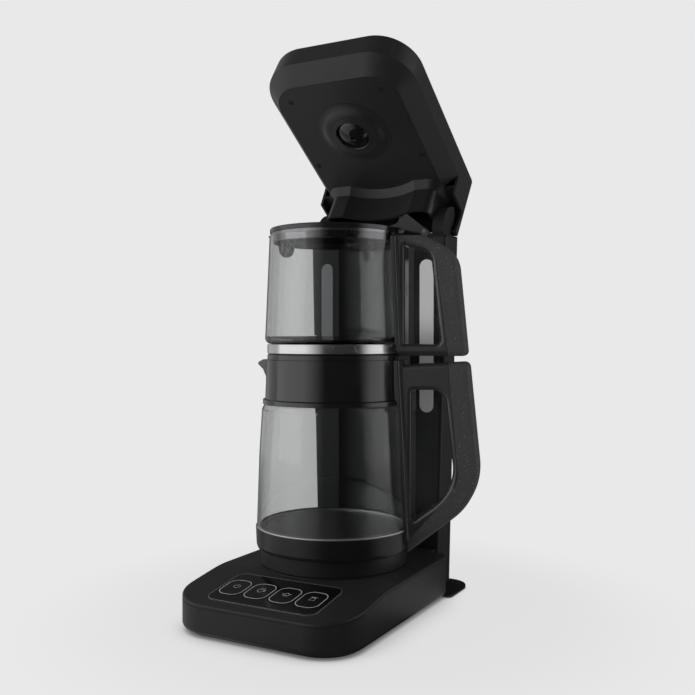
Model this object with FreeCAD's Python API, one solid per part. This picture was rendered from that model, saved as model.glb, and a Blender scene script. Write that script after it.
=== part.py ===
import FreeCAD, Part
import math
import os

from FreeCAD import Vector

# Automatic tea maker: a powered base with a control panel and a tall column behind it,
# a glass kettle on the base, a glass teapot on the kettle, and a hinged head that
# pours hot water into the teapot. Millimetres, +Z up, the keys face -Y.
# The origin is on the kettle's axis, a little above the surface that the feet rest on.

# ---------------------------------------------------------------- driving dimensions
# fits
SEAT_GAP = 0.3          # between pieces that rest on each other
SIDE_GAP = 0.5          # round a piece that moves in an opening
PIN_PLAY = 0.05         # radial play of a pin in its bore
SCREW_PLAY = 0.2        # radial play of a screw in its hole

# base
FLOOR_LEVEL = -4.0      # of the surface that the feet rest on
FOOT_HEIGHT = 1.0
FOOT_RADIUS = 9.0
FOOT_INSET_X = 26.0
FOOT_INSET_FRONT = 34.0
FOOT_INSET_REAR = 20.0
PLATE_THICK = 2.0
PLATE_INSET = 7.0       # of the bottom plate from the side of the base
TAIL_HALF = 92.5        # the bottom plate's wider tail, under the column
TAIL_FRONT = 68.0
TAIL_CORNER = 22.0
BASE_HALF = 88.7
BASE_FRONT = -143.0
BASE_REAR = 77.0
BASE_CORNER_FRONT = 38.0
BASE_CORNER_REAR = 15.0
BASE_WALL = 2.6
BASE_BOTTOM_ROUND = 5.0
SEAM_GROOVE = 0.5       # round the joint between the shell and the deck cover
BRIDGE_HALF = 68.0      # of the short neck that joins the base to the column
BRIDGE_START = 40.0
DECK_TOP = 38.0
DECK_THICK = 3.0
DECK_BEND = -64.0       # where the level deck turns down to the front
DECK_SLOPE = 8.7
DECK_BEND_RADIUS = 160.0
DECK_EDGE_ROUND = 2.0
DOCK_RADIUS = 70.4      # of the thin disc that the kettle stands on
DOCK_RAISE = 0.6
DOCK_SINK = 1.0
LIP_THICK = 1.6
LIP_DEPTH = 4.0

# control panel, measured along the sloping front of the deck
PANEL_HALF = 54.0
PANEL_REAR = -76.4
PANEL_LENGTH = 54.8
PANEL_CORNER = 8.5
PANEL_RAISE = 0.4
PANEL_LEDGE = 1.2       # depth of the panel's seat in the deck
TRIM_WIDTH = 0.9
KEY_COUNT = 4
KEY_PITCH = 26.0
KEY_ROW_X = -1.0        # middle of the row of keys
KEY_BACK = 29.0         # from the panel's rear edge to the middle of the keys
KEY_WIDTH = 23.6
KEY_LENGTH = 30.0
KEY_CORNER = 9.0
KEY_TOP_ROUND = 0.5
KEY_FLANGE = 0.9        # how far a key's flange reaches under the deck
KEY_FLANGE_THICK = 1.0
KEY_FLANGE_DROP = 0.3
KEY_RAISE = 0.9
KEY_TRAVEL = 0.8
KEY_GAP = 0.35
KEY_STEM_RADIUS = 3.0
KEY_STEM_LENGTH = 3.2
BOARD_THICK = 1.6
BOARD_MARGIN = 3.0
SWITCH_SIDE = 6.0
SWITCH_HEIGHT = 3.4

# power connector and water port under the kettle
PLUG_RADIUS = 16.0
PLUG_TOP_RADIUS = 12.0
PLUG_HEIGHT = 5.0
PLUG_FLANGE_RADIUS = 24.0
PLUG_LAND_RADIUS = 20.0
PLUG_BODY_RADIUS = 19.0
PLUG_FLANGE_THICK = 2.0
CONNECTOR_POST_RADIUS = 2.2
PLUG_BODY_DEPTH = 14.0
PLUG_SOCKET_RADIUS = 5.6
PLUG_SOCKET_DEPTH = 8.0
CONTACT_RADIUS = 2.2
PORT_RADIUS = 8.0
PORT_BORE = 3.5
PORT_X = -54.0
PORT_Y = -16.0
INLET_TURN_Y = 6.0
INLET_RUN_Y = 30.0

# pump and boards in the base
MOTOR_RADIUS = 12.0
MOTOR_LENGTH = 34.0
MOTOR_BOSS_RADIUS = 3.0
MOTOR_BOSS_LENGTH = 2.0
CRADLE_WIDTH = 6.0       # of each of the two ribs under the motor
CRADLE_HALF = 10.0
PUMP_RADIUS = 13.0
PUMP_LENGTH = 16.0
PUMP_X = -44.0
PUMP_Y = 58.0
NIPPLE_RADIUS = 3.0
NIPPLE_LENGTH = 9.0
HOSE_RADIUS = 5.0
HOSE_BEND = 8.0
HOSE_SOCKET = 5.5
RISER_Y = 116.0
POWER_BOARD_LEFT = 18.0
POWER_BOARD_INSET = 29.5        # from the side of the base, past the deck's screw posts
POWER_BOARD_Y = 36.0
POWER_BOARD_LENGTH = 62.0
BOARD_EDGE = 2.0
RELAY_SIZE = (14.0, 15.0, 12.0)
TRANSFORMER_SIZE = (19.0, 22.0, 14.0)
TERMINAL_SIZE = (14.0, 8.0, 9.0)
CAPACITOR_RADIUS = 5.0
CAPACITOR_HEIGHT = 13.0
DECK_SCREW_INSET = 22.0
DECK_SCREW_PLACES = (-52.0, 46.0)
STANDOFF_RADIUS = 3.5
STANDOFF_HEIGHT = 5.0
BOSS_RADIUS = 4.6
BOSS_DROP = 6.0
VENT_ROWS = 6
VENT_START = -30.0
VENT_PITCH = 9.0
VENT_WIDTH = 3.0
VENT_HALF = 18.0
SHELL_ROUGH_HEIGHT = 50.0
SCREW_RADIUS = 1.5
SCREW_HEAD_RADIUS = 2.8
SCREW_HEAD_HEIGHT = 1.6
SCREW_LENGTH = 9.0
GLAND_RADIUS = 6.0
GLAND_BORE = 3.6
GLAND_FLANGE = 1.5
GLAND_Z = 16.0
GLAND_X = 46.0

# column
COLUMN_FRONT = 87.4
COLUMN_REAR = 126.0
COVER_DEPTH = 14.0      # of the column's back cover
COLUMN_SPLIT = COLUMN_REAR - COVER_DEPTH
COLUMN_TOP = 355.5
COLUMN_HALF_FOOT = 70.5
COLUMN_HALF_TOP = 79.1
COLUMN_WALL = 2.6
COLUMN_EDGE_ROUND = 2.5
COLUMN_REAR_ROUND = 10.0
CHANNEL_RADIUS = 97.8   # hollow front of the column, round the kettle's axis
CAP_THICK = 2.5
BACK_BOSS_START = 92.0
BACK_VENT_ROWS = 6
BACK_VENT_LOW = 22.0
BACK_VENT_PITCH = 7.0
BACK_VENT_HALF = 26.0
BACK_BOSS_RADIUS = 4.0
BACK_SCREW_LENGTH = 12.0
BACK_SCREW_HEIGHTS = (62.0, 190.0, 316.0)
BACK_SCREW_SINK = 1.2
BACK_SCREW_X = 40.0
STRIP_X = 58.0
STRIP_WIDTH = 15.0
STRIP_LOW = 176.0
STRIP_HIGH = 331.0
STRIP_RAISE = 1.2
STRIP_DEPTH = 1.4

# hinge of the head
HINGE_Y = 117.8
HINGE_Z = 361.0
HEAD_OPEN_ANGLE = 34.3
KNUCKLE_RADIUS = 4.5
HINGE_PIN_RADIUS = 2.0
LUG_INNER = 43.0
LUG_WIDTH = 6.0
TOWER_HALF = 74.0
TOWER_RADIUS = 26.0
TOWER_SIDE_WIDTH = 12.0
WASHER_RADIUS = 4.4
PIN_END = 78.2

# head, given as it lies when it is closed
HEAD_HALF = 79.5
HEAD_FRONT = -80.0
HEAD_REAR = 126.0
HEAD_CORNER_FRONT = 42.0
HEAD_CORNER_REAR = 8.0
HEAD_PLATE_Z = 395.5
HEAD_PLATE_HALF = 65.5
HEAD_PLATE_FRONT = -64.6
HEAD_PLATE_CORNER = 28.0
HEAD_BEVEL_HEIGHT = 15.0
HEAD_WALL_HEIGHT = 26.3
HEAD_TOP_ROUND = 5.0
HEAD_REAR_ROUND = 14.0  # of the long edge over the hinge
HEAD_WALL = 2.6
HEAD_PLATE_THICK = 2.4
PLATE_REVEAL = 0.4
PLATE_SEAT = 2.7        # height at which the bevel's inside starts
BEVEL_EXTRA = 1.1
BEVEL_SHIFT = 1.0
HEAD_BOSS_RADIUS = 3.8
HEAD_HOSE_Y = 117.8
HEAD_HOSE_Z = 410.0
HOOD_FRONT = 79.8       # flat sides of the hood's front wall
HOOD_BOTTOM = 359.0
HOOD_HALF = 61.0
HOOD_CORNER = 9.0
HOOD_SCALLOP_RADIUS = 88.5
HOOD_FLARE = 7.0
HOOD_WALL = 2.5
CHEEK_FRONT = 87.0
CHEEK_LEAN = 2.6
CHEEK_STRIP_FRONT = 114.6
REAR_LOW = 362.5
CHEEK_LOW_FRONT = 387.5
CHEEK_LOW_REAR = 380.8
NOZZLE_MOUND_RADIUS = 38.0
NOZZLE_MOUND_EDGE = 0.3
NOZZLE_MOUND_TOP_RADIUS = 22.0
NOZZLE_MOUND_HEIGHT = 4.6
NOZZLE_BORE = 6.0
NOZZLE_NIPPLE = 12.0
NOZZLE_DOME_RADIUS = 16.5
NOZZLE_DOME_DROP = 8.5
NOZZLE_HOLE_RADIUS = 1.6
HEAD_SCREW_FRONT_X = 49.3
HEAD_SCREW_FRONT_Y = -47.4
HEAD_SCREW_REAR_X = 59.5
HEAD_SCREW_REAR_Y = 39.2

# jugs lean their handles back from the right-hand side by this angle
HANDLE_ANGLE = 15.0
HANDLE_HALF = 13.5
SADDLE_HALF = 21.0      # of the flanges that hug the jugs
SADDLE_THICK = 4.0
SADDLE_ROUND = 2.0
HANDLE_EDGE_ROUND = 4.0
GRIP_EDGE_ROUND = 5.0
SEAM_GAP = 0.3
HANDLE_ROOT = 60.0      # edges nearer the axis stay inside the jug and aren't rounded

# kettle
KETTLE_BOTTOM = DECK_TOP + DOCK_RAISE + SEAT_GAP
UNDER_RADIUS = 69.6
UNDER_BAND_RADIUS = 70.4
UNDER_BAND_TOP = 53.9
UNDER_WALL_RADIUS = 71.6
UNDER_WALL_TOP = 57.5
UNDER_INNER_RADIUS = 68.0
UNDER_THICK = 2.4
UNDER_EDGE = 0.6
WELL_RADIUS = 24.6
WELL_TOP = 50.0
SKIRT = [(71.9, 53.6), (73.4, 54.2), (74.3, 57.0), (74.9, 72.0), (74.9, 73.2)]
SKIRT_INNER = [(72.3, 73.2), (72.2, 70.0), (71.9, 57.0)]
RIM_PLATE_RADIUS = 74.2
RIM_PLATE_INNER = 66.0
RIM_PLATE_LOW = 73.4
RIM_PLATE_HIGH = 74.5
HEATER_RADIUS = 71.9
HEATER_LOW = 71.0
HEATER_HIGH = 73.1
ELEMENT_RADIUS = 44.0
ELEMENT_TUBE = 3.6
THERMOSTAT_RADIUS = 9.0
THERMOSTAT_DEPTH = 8.0
GASKET_INNER = 69.4
GASKET_OUTER = 73.6
GASKET_HIGH = 75.3
KETTLE_GLASS_WALL = 2.6
KETTLE_GLASS_WALL_LINE = [(73.9, 75.5), (71.6, 142.0), (69.0, 184.0)]
KETTLE_SHOULDER = [(69.0, 184.0), (66.2, 189.9), (62.8, 194.6)]
KETTLE_NECK_TOP = 222.0
COLLAR_OUTER = [(67.2, 189.5), (68.1, 189.5), (68.1, 193.5), (66.0, 194.5), (65.3, 209.0),
                (65.2, 231.0)]
COLLAR_INNER = [(61.0, 231.0), (61.0, 222.4), (63.2, 222.4), (63.2, 198.5), (64.6, 193.9)]
LID_TOP = 236.6
LID_RADIUS = 63.8
LID_LOW = 231.3
LID_SPIGOT_TOP = 60.7
LID_SPIGOT_LOW = 56.9
LID_SPIGOT_DEPTH = 5.0
LID_WALL = 2.6
SPOUT = [(-60.0, 231.0), (-68.0, 231.0), (-73.9, 228.4), (-74.7, 226.8), (-73.6, 225.6),
         (-68.0, 221.7), (-64.0, 215.0), (-60.0, 213.0)]
SPOUT_ROOT_HALF = 19.0
SPOUT_TIP_HALF = 7.0
SPOUT_CHANNEL = 5.0
VALVE_RADIUS = 5.0
VALVE_BORE = 2.4
CONTACT_SEAT_RADIUS = 6.2
CONTACT_REACH = 3.8
PAD_RADIUS = 3.6
PAD_PLACES = (77.3, 102.2)
PAD_LENGTH = 10.5

# kettle's handle, drawn as (distance from the axis, height, corner radius)
KETTLE_HANDLE = [(56.0, 226.3, 0), (129.3, 230.1, 5.5), (141.7, 106.2, 60.0), (56.0, 37.9, 0)]
KETTLE_OPENING = [(77.4, 203.4, 2.0), (107.0, 203.8, 13.0), (117.9, 111.5, 44.0), (77.4, 81.9, 1.5)]
KETTLE_SEAM = [(110.1, 236.0, 0), (120.8, 117.3, 30.0), (60.0, 48.1, 0)]

# teapot
TEAPOT_LOW = LID_TOP + SEAT_GAP
BAND_RADIUS = 63.8
BAND_TOP = 245.6
BAND_WALL = 1.2
BAND_FOOT_INNER = 30.0
BAND_LEDGE_INNER = 48.0
TEAPOT_FLOOR_LOW = 245.9
TEAPOT_FLOOR_HIGH = 248.9
TEAPOT_GLASS_HEEL = [(60.4, 245.9), (64.5, 247.9), (65.9, 252.8)]
TEAPOT_GLASS_TOP = 347.5
TEAPOT_GLASS_LINE = [(65.9, 252.8), (64.2, 290.0), (61.7, TEAPOT_GLASS_TOP)]
TEAPOT_INSIDE_LINE = [(59.2, TEAPOT_GLASS_TOP), (61.8, 290.0), (63.5, 254.0)]
TEAPOT_INSIDE_HEEL = [(63.5, 254.0), (62.6, 250.6), (59.6, 248.9)]

RIM_INNER = 57.3        # of the steel ring in the teapot's mouth
RIM_OUTER = 58.9
RIM_FLANGE = 60.4
RIM_LOW = 341.5
RIM_SEAT = TEAPOT_GLASS_TOP + SEAT_GAP
RIM_TOP = RIM_SEAT + 2.5
BEAK_TIP = 64.5
BEAK_ROUND = 0.8
BEAK_ROOT_HALF = 13.0
BEAK_TIP_HALF = 5.0
BEAK_CHANNEL = 2.4
BEAK_CHANNEL_NARROWING = 1.2
BEAK_CHANNEL_LIFT = 0.6 # of the channel's axis over the ring
POT_LID_RADIUS = 61.3
POT_LID_LOW = RIM_TOP + SEAT_GAP
POT_LID_HIGH = 355.0
POT_LID_SPIGOT = 56.3
POT_LID_SPIGOT_DEPTH = 3.0
TAB_PIVOT = (88.0, 350.4)
TAB_BARREL = 2.8
TAB_HALF = 6.5
TAB_SIDE = [(50.0, 355.0), (61.0, 358.0), (69.2, 366.0), (70.8, 367.2), (72.6, 366.2),
            (90.2, 352.1), (88.0, 347.8), (84.0, 349.2), (66.5, 353.4), (64.5, 355.0)]
TAB_PIN_RADIUS = 1.2
EAR_THICK = 2.4
EAR_GAP = 0.5
TEAPOT_HANDLE = [(56.0, 350.6, 0), (80.0, 350.5, 40.0), (118.8, 330.6, 28.0), (128.2, 235.0, 4.5),
                 (56.0, 235.0, 0)]
TEAPOT_OPENING = [(70.4, 246.1, 1.5), (103.6, 245.8, 4.0), (94.5, 331.4, 12.0), (70.4, 338.0, 1.5)]
TEAPOT_SEAM = [(50.0, 346.5, 0), (64.0, 345.0, 30.0), (98.0, 334.0, 20.0), (111.8, 230.0, 0)]
STRAINER_REACH = 48.2   # of the basket's axis behind the spout
STRAINER_TOP = 347.0
STRAINER_WALL = 0.8
STRAINER_RADIUS = 8.7   # at the top
STRAINER_LOW_RADIUS = 7.6
STRAINER_BEND = 337.0   # where the tapering side meets the round bottom
STRAINER_HOLE = 0.9
STRAINER_ROWS = 4
STRAINER_ROW_LOW = 335.6
STRAINER_ROW_PITCH = 2.8
STRAINER_COLUMNS = 5    # each column pierces both sides
LID_HOLES = 6
LID_HOLE_REACH = 12.0
LID_HOLE_RADIUS = 2.2
EAR_DROP = 7.0

# ---------------------------------------------------------------- small tools
X_AXIS = Vector(1, 0, 0)
Y_AXIS = Vector(0, 1, 0)
Z_AXIS = Vector(0, 0, 1)
HALF_ROOT = math.sqrt(0.5)
SLOPE = math.radians(DECK_SLOPE)
WIDE = 400.0            # longer than the object, for cutting blocks
PAST = 20.0             # how far a cutting tool runs past what it cuts
LEVEL = 0.01            # heights closer than this are the same level
BITE = 0.5              # how deep a post runs into the part that carries it
PRESS_GAP = 0.1         # between pieces that are pressed or glued together
FACE_GAP = 0.2          # between housings screwed together face to face

# small features of the base
CRADLE_SHARE = 0.6              # of the motor's radius, from its axis down to the cradle's edge
CRADLE_INSET = 2.0
PUMP_CLEARANCE = 1.2            # under the pump head
RIM_DEPTH = 4.0                 # edges of the deck's rim lie at least this far above the floor
DECK_SCREW_COVER = 1.5          # plastic left over the tips of the base's screws
SWITCH_PLUNGER_RADIUS = 1.7
SWITCH_PLUNGER = 0.8
BOARD_CORNER = 1.0
STANDOFF_INSET = 4.0
PLUG_GROOVE_OUTER = 1.5         # inside the plug's edge
PLUG_GROOVE_INNER = 3.0
PLUG_GROOVE_DEPTH = 2.0
CONNECTOR_POST_COUNT = 4
PORT_CUP_DEPTH = 3.0
PORT_FLANGE = 3.0
PORT_FLANGE_THICK = 2.0

# small features of the column and the hinge
STRIP_PLAY = 0.15
STRIP_ROUND = 0.8
GLAND_PLAY = 0.1
GLAND_LIP = 2.0
BACK_SCREW_ROOM = 5.0
CAP_PLUG_WALL = 3.0
CAP_PLUG_DEPTH = 5.0
CAP_PLUG_ROUNDS = (1.0, 4.0)
LUG_EASE = 0.3
WASHER_EASE = 0.05

# small features of the head
PLATE_CORNER_REAR = 1.0
PLATE_TUCK = 3.0                # how far the plate runs in under the cheeks
OPENING_EXTRA = 1.4
POCKET_CORNER = 0.5
HOOD_CORNER_REAR = 1.0
PIN_ROOM = 0.3
PIN_POCKET = 3.0
NIPPLE_ROOM = 2.3
DOME_PLAY = 0.3
DOME_SEAT = 2.2
DOME_LEVEL = 2.5                # from the plate's face up to the nozzle dome's rim
DOME_EASE = (0.6, 0.8)          # width and height of the chamfer round the dome

# small features of the jugs
SEAL_ROOM = (73.0, 76.0)        # levels between which the handle clears the kettle's seal
GLASS_ROOM_LOW = 75.0
BAND_ROOM_LOW = 225.0
BAND_ROOM_LAP = 0.5
ELEMENT_BRAZE = 0.6
ELEMENT_OPEN = 10.0             # half the gap between the ends of the heating tube
VALVE_FLANGE = 3.0
VALVE_FLANGE_THICK = 2.0
VALVE_LIFT = 1.0
THERMOSTAT_FLANGE = 3.0
THERMOSTAT_FLANGE_THICK = 1.5
CONTACT_FLANGE = 5.0
CONTACT_FLANGE_THICK = 2.5
SPOUT_ROOT = 58.0
SPOUT_CHANNEL_NARROWING = 2.5
SPOUT_CHANNEL_LIFT = 1.0
LID_EDGE = 1.2
LID_SPIGOT_WALL = 2.0
BAND_EDGE = 0.5
POT_LID_EDGE = 0.8
POT_LID_WALL = 2.0


def segment(a, b):
    return Part.LineSegment(a, b).toShape()


def arc_through(a, middle, b):
    return Part.Arc(a, middle, b).toShape()


def loop_of(points):
    """A closed wire of straight edges."""
    return Part.makePolygon(points + [points[0]])


def rounded_outline(half, front, rear, round_front, round_rear, z):
    """A rectangle from front to rear with round corners, seen from above."""
    edges = []
    corners = [(-half, front, round_front), (half, front, round_front),
               (half, rear, round_rear), (-half, rear, round_rear)]
    starts = []
    for number, (x, y, radius) in enumerate(corners):
        sx = -1 if x < 0 else 1
        sy = -1 if number < 2 else 1
        centre = Vector(x - sx * radius, y - sy * radius, z)
        along_x = centre + Vector(0, sy * radius, 0)
        along_y = centre + Vector(sx * radius, 0, 0)
        middle = centre + Vector(sx * radius, sy * radius, 0) * HALF_ROOT
        first, last = (along_y, along_x) if number % 2 == 0 else (along_x, along_y)
        starts.append((first, middle, last))
    for number, (first, middle, last) in enumerate(starts):
        edges.append(arc_through(first, middle, last))
        following = starts[(number + 1) % 4][0]
        edges.append(segment(last, following))
    return Part.Wire(edges)


def slab(wire, height):
    return Part.Face(wire).extrude(Vector(0, 0, height))


def box(x0, x1, y0, y1, z0, z1):
    return Part.makeBox(x1 - x0, y1 - y0, z1 - z0, Vector(x0, y0, z0))


def cylinder(radius, height, base, axis=Z_AXIS):
    return Part.makeCylinder(radius, height, base, axis)


def ring(outer, inner, height, base, axis=Z_AXIS):
    start = base - axis
    return cylinder(outer, height, base, axis).cut(cylinder(inner, height + 2, start, axis))


def turned(points):
    """A body of revolution round the kettle's axis from (radius, height) points."""
    wire = loop_of([Vector(r, 0, z) for r, z in points])
    return Part.Face(wire).revolve(Vector(0, 0, 0), Z_AXIS, 360)


def side_slab(edges, half):
    """Extrudes a closed outline drawn in the YZ plane to both sides of the middle."""
    face = Part.Face(Part.Wire(edges))
    face.translate(Vector(-half, 0, 0))
    return face.extrude(Vector(2 * half, 0, 0))


def fused(shapes):
    body = shapes[0]
    for other in shapes[1:]:
        body = body.fuse(other)
    return body.removeSplitter()


def to_handle_side(shape):
    """Turns a piece drawn along +X, such as a handle, to where the handles point."""
    turned_shape = shape.copy()
    turned_shape.rotate(Vector(0, 0, 0), Z_AXIS, HANDLE_ANGLE)
    return turned_shape


def edges_where(shape, test):
    return [edge for edge in shape.Edges if test(edge)]


# ---------------------------------------------------------------- base
def deck_height(y):
    if y >= DECK_BEND:
        return DECK_TOP
    return DECK_TOP - (DECK_BEND - y) * math.tan(SLOPE)


def under_deck(offset):
    """Everything below the deck's top surface, lowered by an offset."""
    reach = DECK_BEND_RADIUS * math.tan(SLOPE / 2)
    level = DECK_TOP - offset
    rear = Vector(0, COLUMN_REAR + 20, level)
    bend_start = Vector(0, DECK_BEND + reach, level)
    bend_end = Vector(0, DECK_BEND - reach * math.cos(SLOPE), level - reach * math.sin(SLOPE))
    sag = DECK_BEND_RADIUS * (1 - math.cos(SLOPE / 2))
    half_turn = DECK_BEND_RADIUS * math.sin(SLOPE / 2)
    bend_middle = Vector(0, bend_start.y - half_turn, level - sag)
    front_y = BASE_FRONT - PAST
    front = Vector(0, front_y, deck_height(front_y) - offset)
    low_front = Vector(0, front_y, -PAST)
    low_rear = Vector(0, rear.y, -PAST)
    edges = [segment(rear, bend_start), arc_through(bend_start, bend_middle, bend_end),
             segment(bend_end, front), segment(front, low_front),
             segment(low_front, low_rear), segment(low_rear, rear)]
    return side_slab(edges, WIDE / 2)


def base_outline(inset, z):
    return rounded_outline(BASE_HALF - inset, BASE_FRONT + inset, BASE_REAR - inset,
                           BASE_CORNER_FRONT - inset, BASE_CORNER_REAR - inset, z)


def slope_place(x, along, lift):
    """A point of the sloping front, given from the panel's rear edge and its surface."""
    y = PANEL_REAR - along * math.cos(SLOPE) - lift * math.sin(SLOPE)
    z = deck_height(PANEL_REAR) - along * math.sin(SLOPE) + lift * math.cos(SLOPE)
    return Vector(x, y, z)


def laid_on_slope(shape):
    """Moves a piece drawn on the XY plane, rear edge at y = 0, onto the sloping front."""
    placed = shape.copy()
    placed.rotate(Vector(0, 0, 0), X_AXIS, DECK_SLOPE)
    placed.translate(slope_place(0, 0, 0))
    return placed


def slope_slab(half, front, rear, corner, low, high, centre_x=0.0):
    wire = rounded_outline(half, front, rear, corner, corner, low)
    piece = slab(wire, high - low)
    piece.translate(Vector(centre_x, 0, 0))
    return laid_on_slope(piece)


def key_centre(number):
    return KEY_ROW_X + (number - (KEY_COUNT - 1) / 2) * KEY_PITCH


KEY_MIDDLE = -KEY_BACK
KEY_UNDER = -DECK_THICK - KEY_FLANGE_DROP - KEY_FLANGE_THICK


def key_slab(number, grow, low, high):
    return slope_slab(KEY_WIDTH / 2 + grow, KEY_MIDDLE - KEY_LENGTH / 2 - grow,
                      KEY_MIDDLE + KEY_LENGTH / 2 + grow, KEY_CORNER + grow, low, high,
                      key_centre(number))


PLATE_LOW = FLOOR_LEVEL + FOOT_HEIGHT
PLATE_HIGH = PLATE_LOW + PLATE_THICK
SHELL_LOW = PLATE_HIGH
FLOOR_TOP = SHELL_LOW + BASE_WALL


def foot_places():
    front = BASE_FRONT + FOOT_INSET_FRONT
    rear = COLUMN_REAR - FOOT_INSET_REAR
    side = BASE_HALF - FOOT_INSET_X
    return [(sx * side, y) for sx in (-1, 1) for y in (front, rear)]


def feet():
    return [cylinder(FOOT_RADIUS, FOOT_HEIGHT, Vector(x, y, FLOOR_LEVEL)) for x, y in foot_places()]


def deck_screw_places():
    side = BASE_HALF - DECK_SCREW_INSET
    return [(sx * side, y) for sx in (-1, 1) for y in DECK_SCREW_PLACES]


def screw(head_base, up=Z_AXIS, length=SCREW_LENGTH):
    """A pan-head screw whose head lies on the near side of head_base."""
    head = cylinder(SCREW_HEAD_RADIUS, SCREW_HEAD_HEIGHT, head_base - up * SCREW_HEAD_HEIGHT, up)
    shank = cylinder(SCREW_RADIUS, length, head_base, up)
    return head.fuse(shank)


def screw_room(head_base, up=Z_AXIS, length=SCREW_LENGTH):
    head = cylinder(SCREW_HEAD_RADIUS + SCREW_PLAY, SCREW_HEAD_HEIGHT + PAST,
                    head_base - up * (SCREW_HEAD_HEIGHT + PAST), up)
    shank = cylinder(SCREW_RADIUS + SCREW_PLAY, length + 1, head_base, up)
    return head.fuse(shank)


def base_screw_seats():
    """Where the screws enter the bottom plate on their way to the deck's bosses."""
    return [Vector(x, y, PLATE_LOW + SCREW_HEAD_HEIGHT) for x, y in deck_screw_places()]


def bottom_plate():
    inset = PLATE_INSET
    body = slab(rounded_outline(BASE_HALF - inset, BASE_FRONT + inset, TAIL_FRONT + TAIL_CORNER,
                                BASE_CORNER_FRONT - inset, TAIL_CORNER / 2, PLATE_LOW), PLATE_THICK)
    tail = slab(rounded_outline(TAIL_HALF, TAIL_FRONT, COLUMN_REAR, TAIL_CORNER / 4, TAIL_CORNER,
                                PLATE_LOW), PLATE_THICK)
    plate = body.fuse(tail).removeSplitter()
    for seat in base_screw_seats():
        plate = plate.cut(screw_room(seat))
    for row in range(VENT_ROWS):
        y = VENT_START + row * VENT_PITCH
        plate = plate.cut(box(-VENT_HALF, VENT_HALF, y, y + VENT_WIDTH, PLATE_LOW - 1, PLATE_HIGH + 1))
    return plate


def bridge(inset, low, high):
    """The short neck between base and column, hollowed to follow the column's front."""
    neck = box(-BRIDGE_HALF + inset, BRIDGE_HALF - inset, BRIDGE_START, COLUMN_SPLIT, low, high)
    fill = box(-WIDE / 2, WIDE / 2, 0, COLUMN_FRONT - SEAT_GAP - inset, low - 1, high + 1)
    fill = fill.fuse(cylinder(CHANNEL_RADIUS - SEAT_GAP - inset, high - low + 2, Vector(0, 0, low - 1)))
    return neck.common(fill)


def base_block(inset, low, high):
    """The base's full outline between two levels, drawn in by an inset."""
    return slab(base_outline(inset, low), high - low).fuse(bridge(inset, low, high)).removeSplitter()


def base_shell():
    body = slab(base_outline(0, SHELL_LOW), SHELL_ROUGH_HEIGHT)
    rim = edges_where(body, lambda e: e.BoundBox.ZMax < SHELL_LOW + LEVEL)
    body = body.makeFillet(BASE_BOTTOM_ROUND, rim)
    body = body.fuse(bridge(0, SHELL_LOW, SHELL_LOW + SHELL_ROUGH_HEIGHT)).removeSplitter()
    body = body.common(under_deck(DECK_THICK))
    hollow = slab(base_outline(BASE_WALL, FLOOR_TOP), SHELL_ROUGH_HEIGHT)
    low_edges = edges_where(hollow, lambda e: e.BoundBox.ZMax < FLOOR_TOP + LEVEL)
    hollow = hollow.makeFillet(BASE_BOTTOM_ROUND - BASE_WALL, low_edges)
    hollow = hollow.fuse(bridge(BASE_WALL, FLOOR_TOP, FLOOR_TOP + SHELL_ROUGH_HEIGHT))
    body = body.cut(hollow)
    posts = []
    for x, y in deck_screw_places():
        height = boss_low() - SEAT_GAP - FLOOR_TOP
        posts.append(cylinder(BOSS_RADIUS, height, Vector(x, y, FLOOR_TOP)))
    for x, y in power_board_corners():
        posts.append(cylinder(STANDOFF_RADIUS, STANDOFF_HEIGHT, Vector(x, y, FLOOR_TOP)))
    cradle_top = pump_axis_z() - MOTOR_RADIUS * CRADLE_SHARE
    cradle_left = PUMP_X - MOTOR_LENGTH / 2
    cradle = box(cradle_left, cradle_left + CRADLE_WIDTH, PUMP_Y - CRADLE_HALF, PUMP_Y + CRADLE_HALF,
                 FLOOR_TOP, cradle_top)
    room = cylinder(MOTOR_RADIUS + SEAT_GAP, WIDE, Vector(-WIDE / 2, PUMP_Y, pump_axis_z()), X_AXIS)
    posts.append(cradle.cut(room))
    other = cradle.copy()
    other.translate(Vector(MOTOR_LENGTH - CRADLE_WIDTH - CRADLE_INSET, 0, 0))
    posts.append(other.cut(room))
    posts += board_standoffs() + connector_posts()
    body = fused([body] + posts)
    for seat in base_screw_seats():
        body = body.cut(screw_room(seat, length=DECK_TOP))
    body = body.cut(seam_groove())
    body = body.cut(cylinder(HOSE_RADIUS + SIDE_GAP, COLUMN_FRONT - BASE_REAR + PAST,
                             Vector(HOSE_X, BASE_REAR, hose_z()), Y_AXIS))
    return body


def seam_groove():
    """A fine groove round the top of the shell, under the deck cover's edge."""
    rim = slab(base_outline(-1, SHELL_LOW), SHELL_ROUGH_HEIGHT)
    rim = rim.cut(slab(base_outline(SEAM_GROOVE, SHELL_LOW), SHELL_ROUGH_HEIGHT))
    rim = rim.cut(bridge(-1, SHELL_LOW, SHELL_LOW + SHELL_ROUGH_HEIGHT))
    return rim.common(under_deck(DECK_THICK)).cut(under_deck(DECK_THICK + SEAM_GROOVE))


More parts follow.
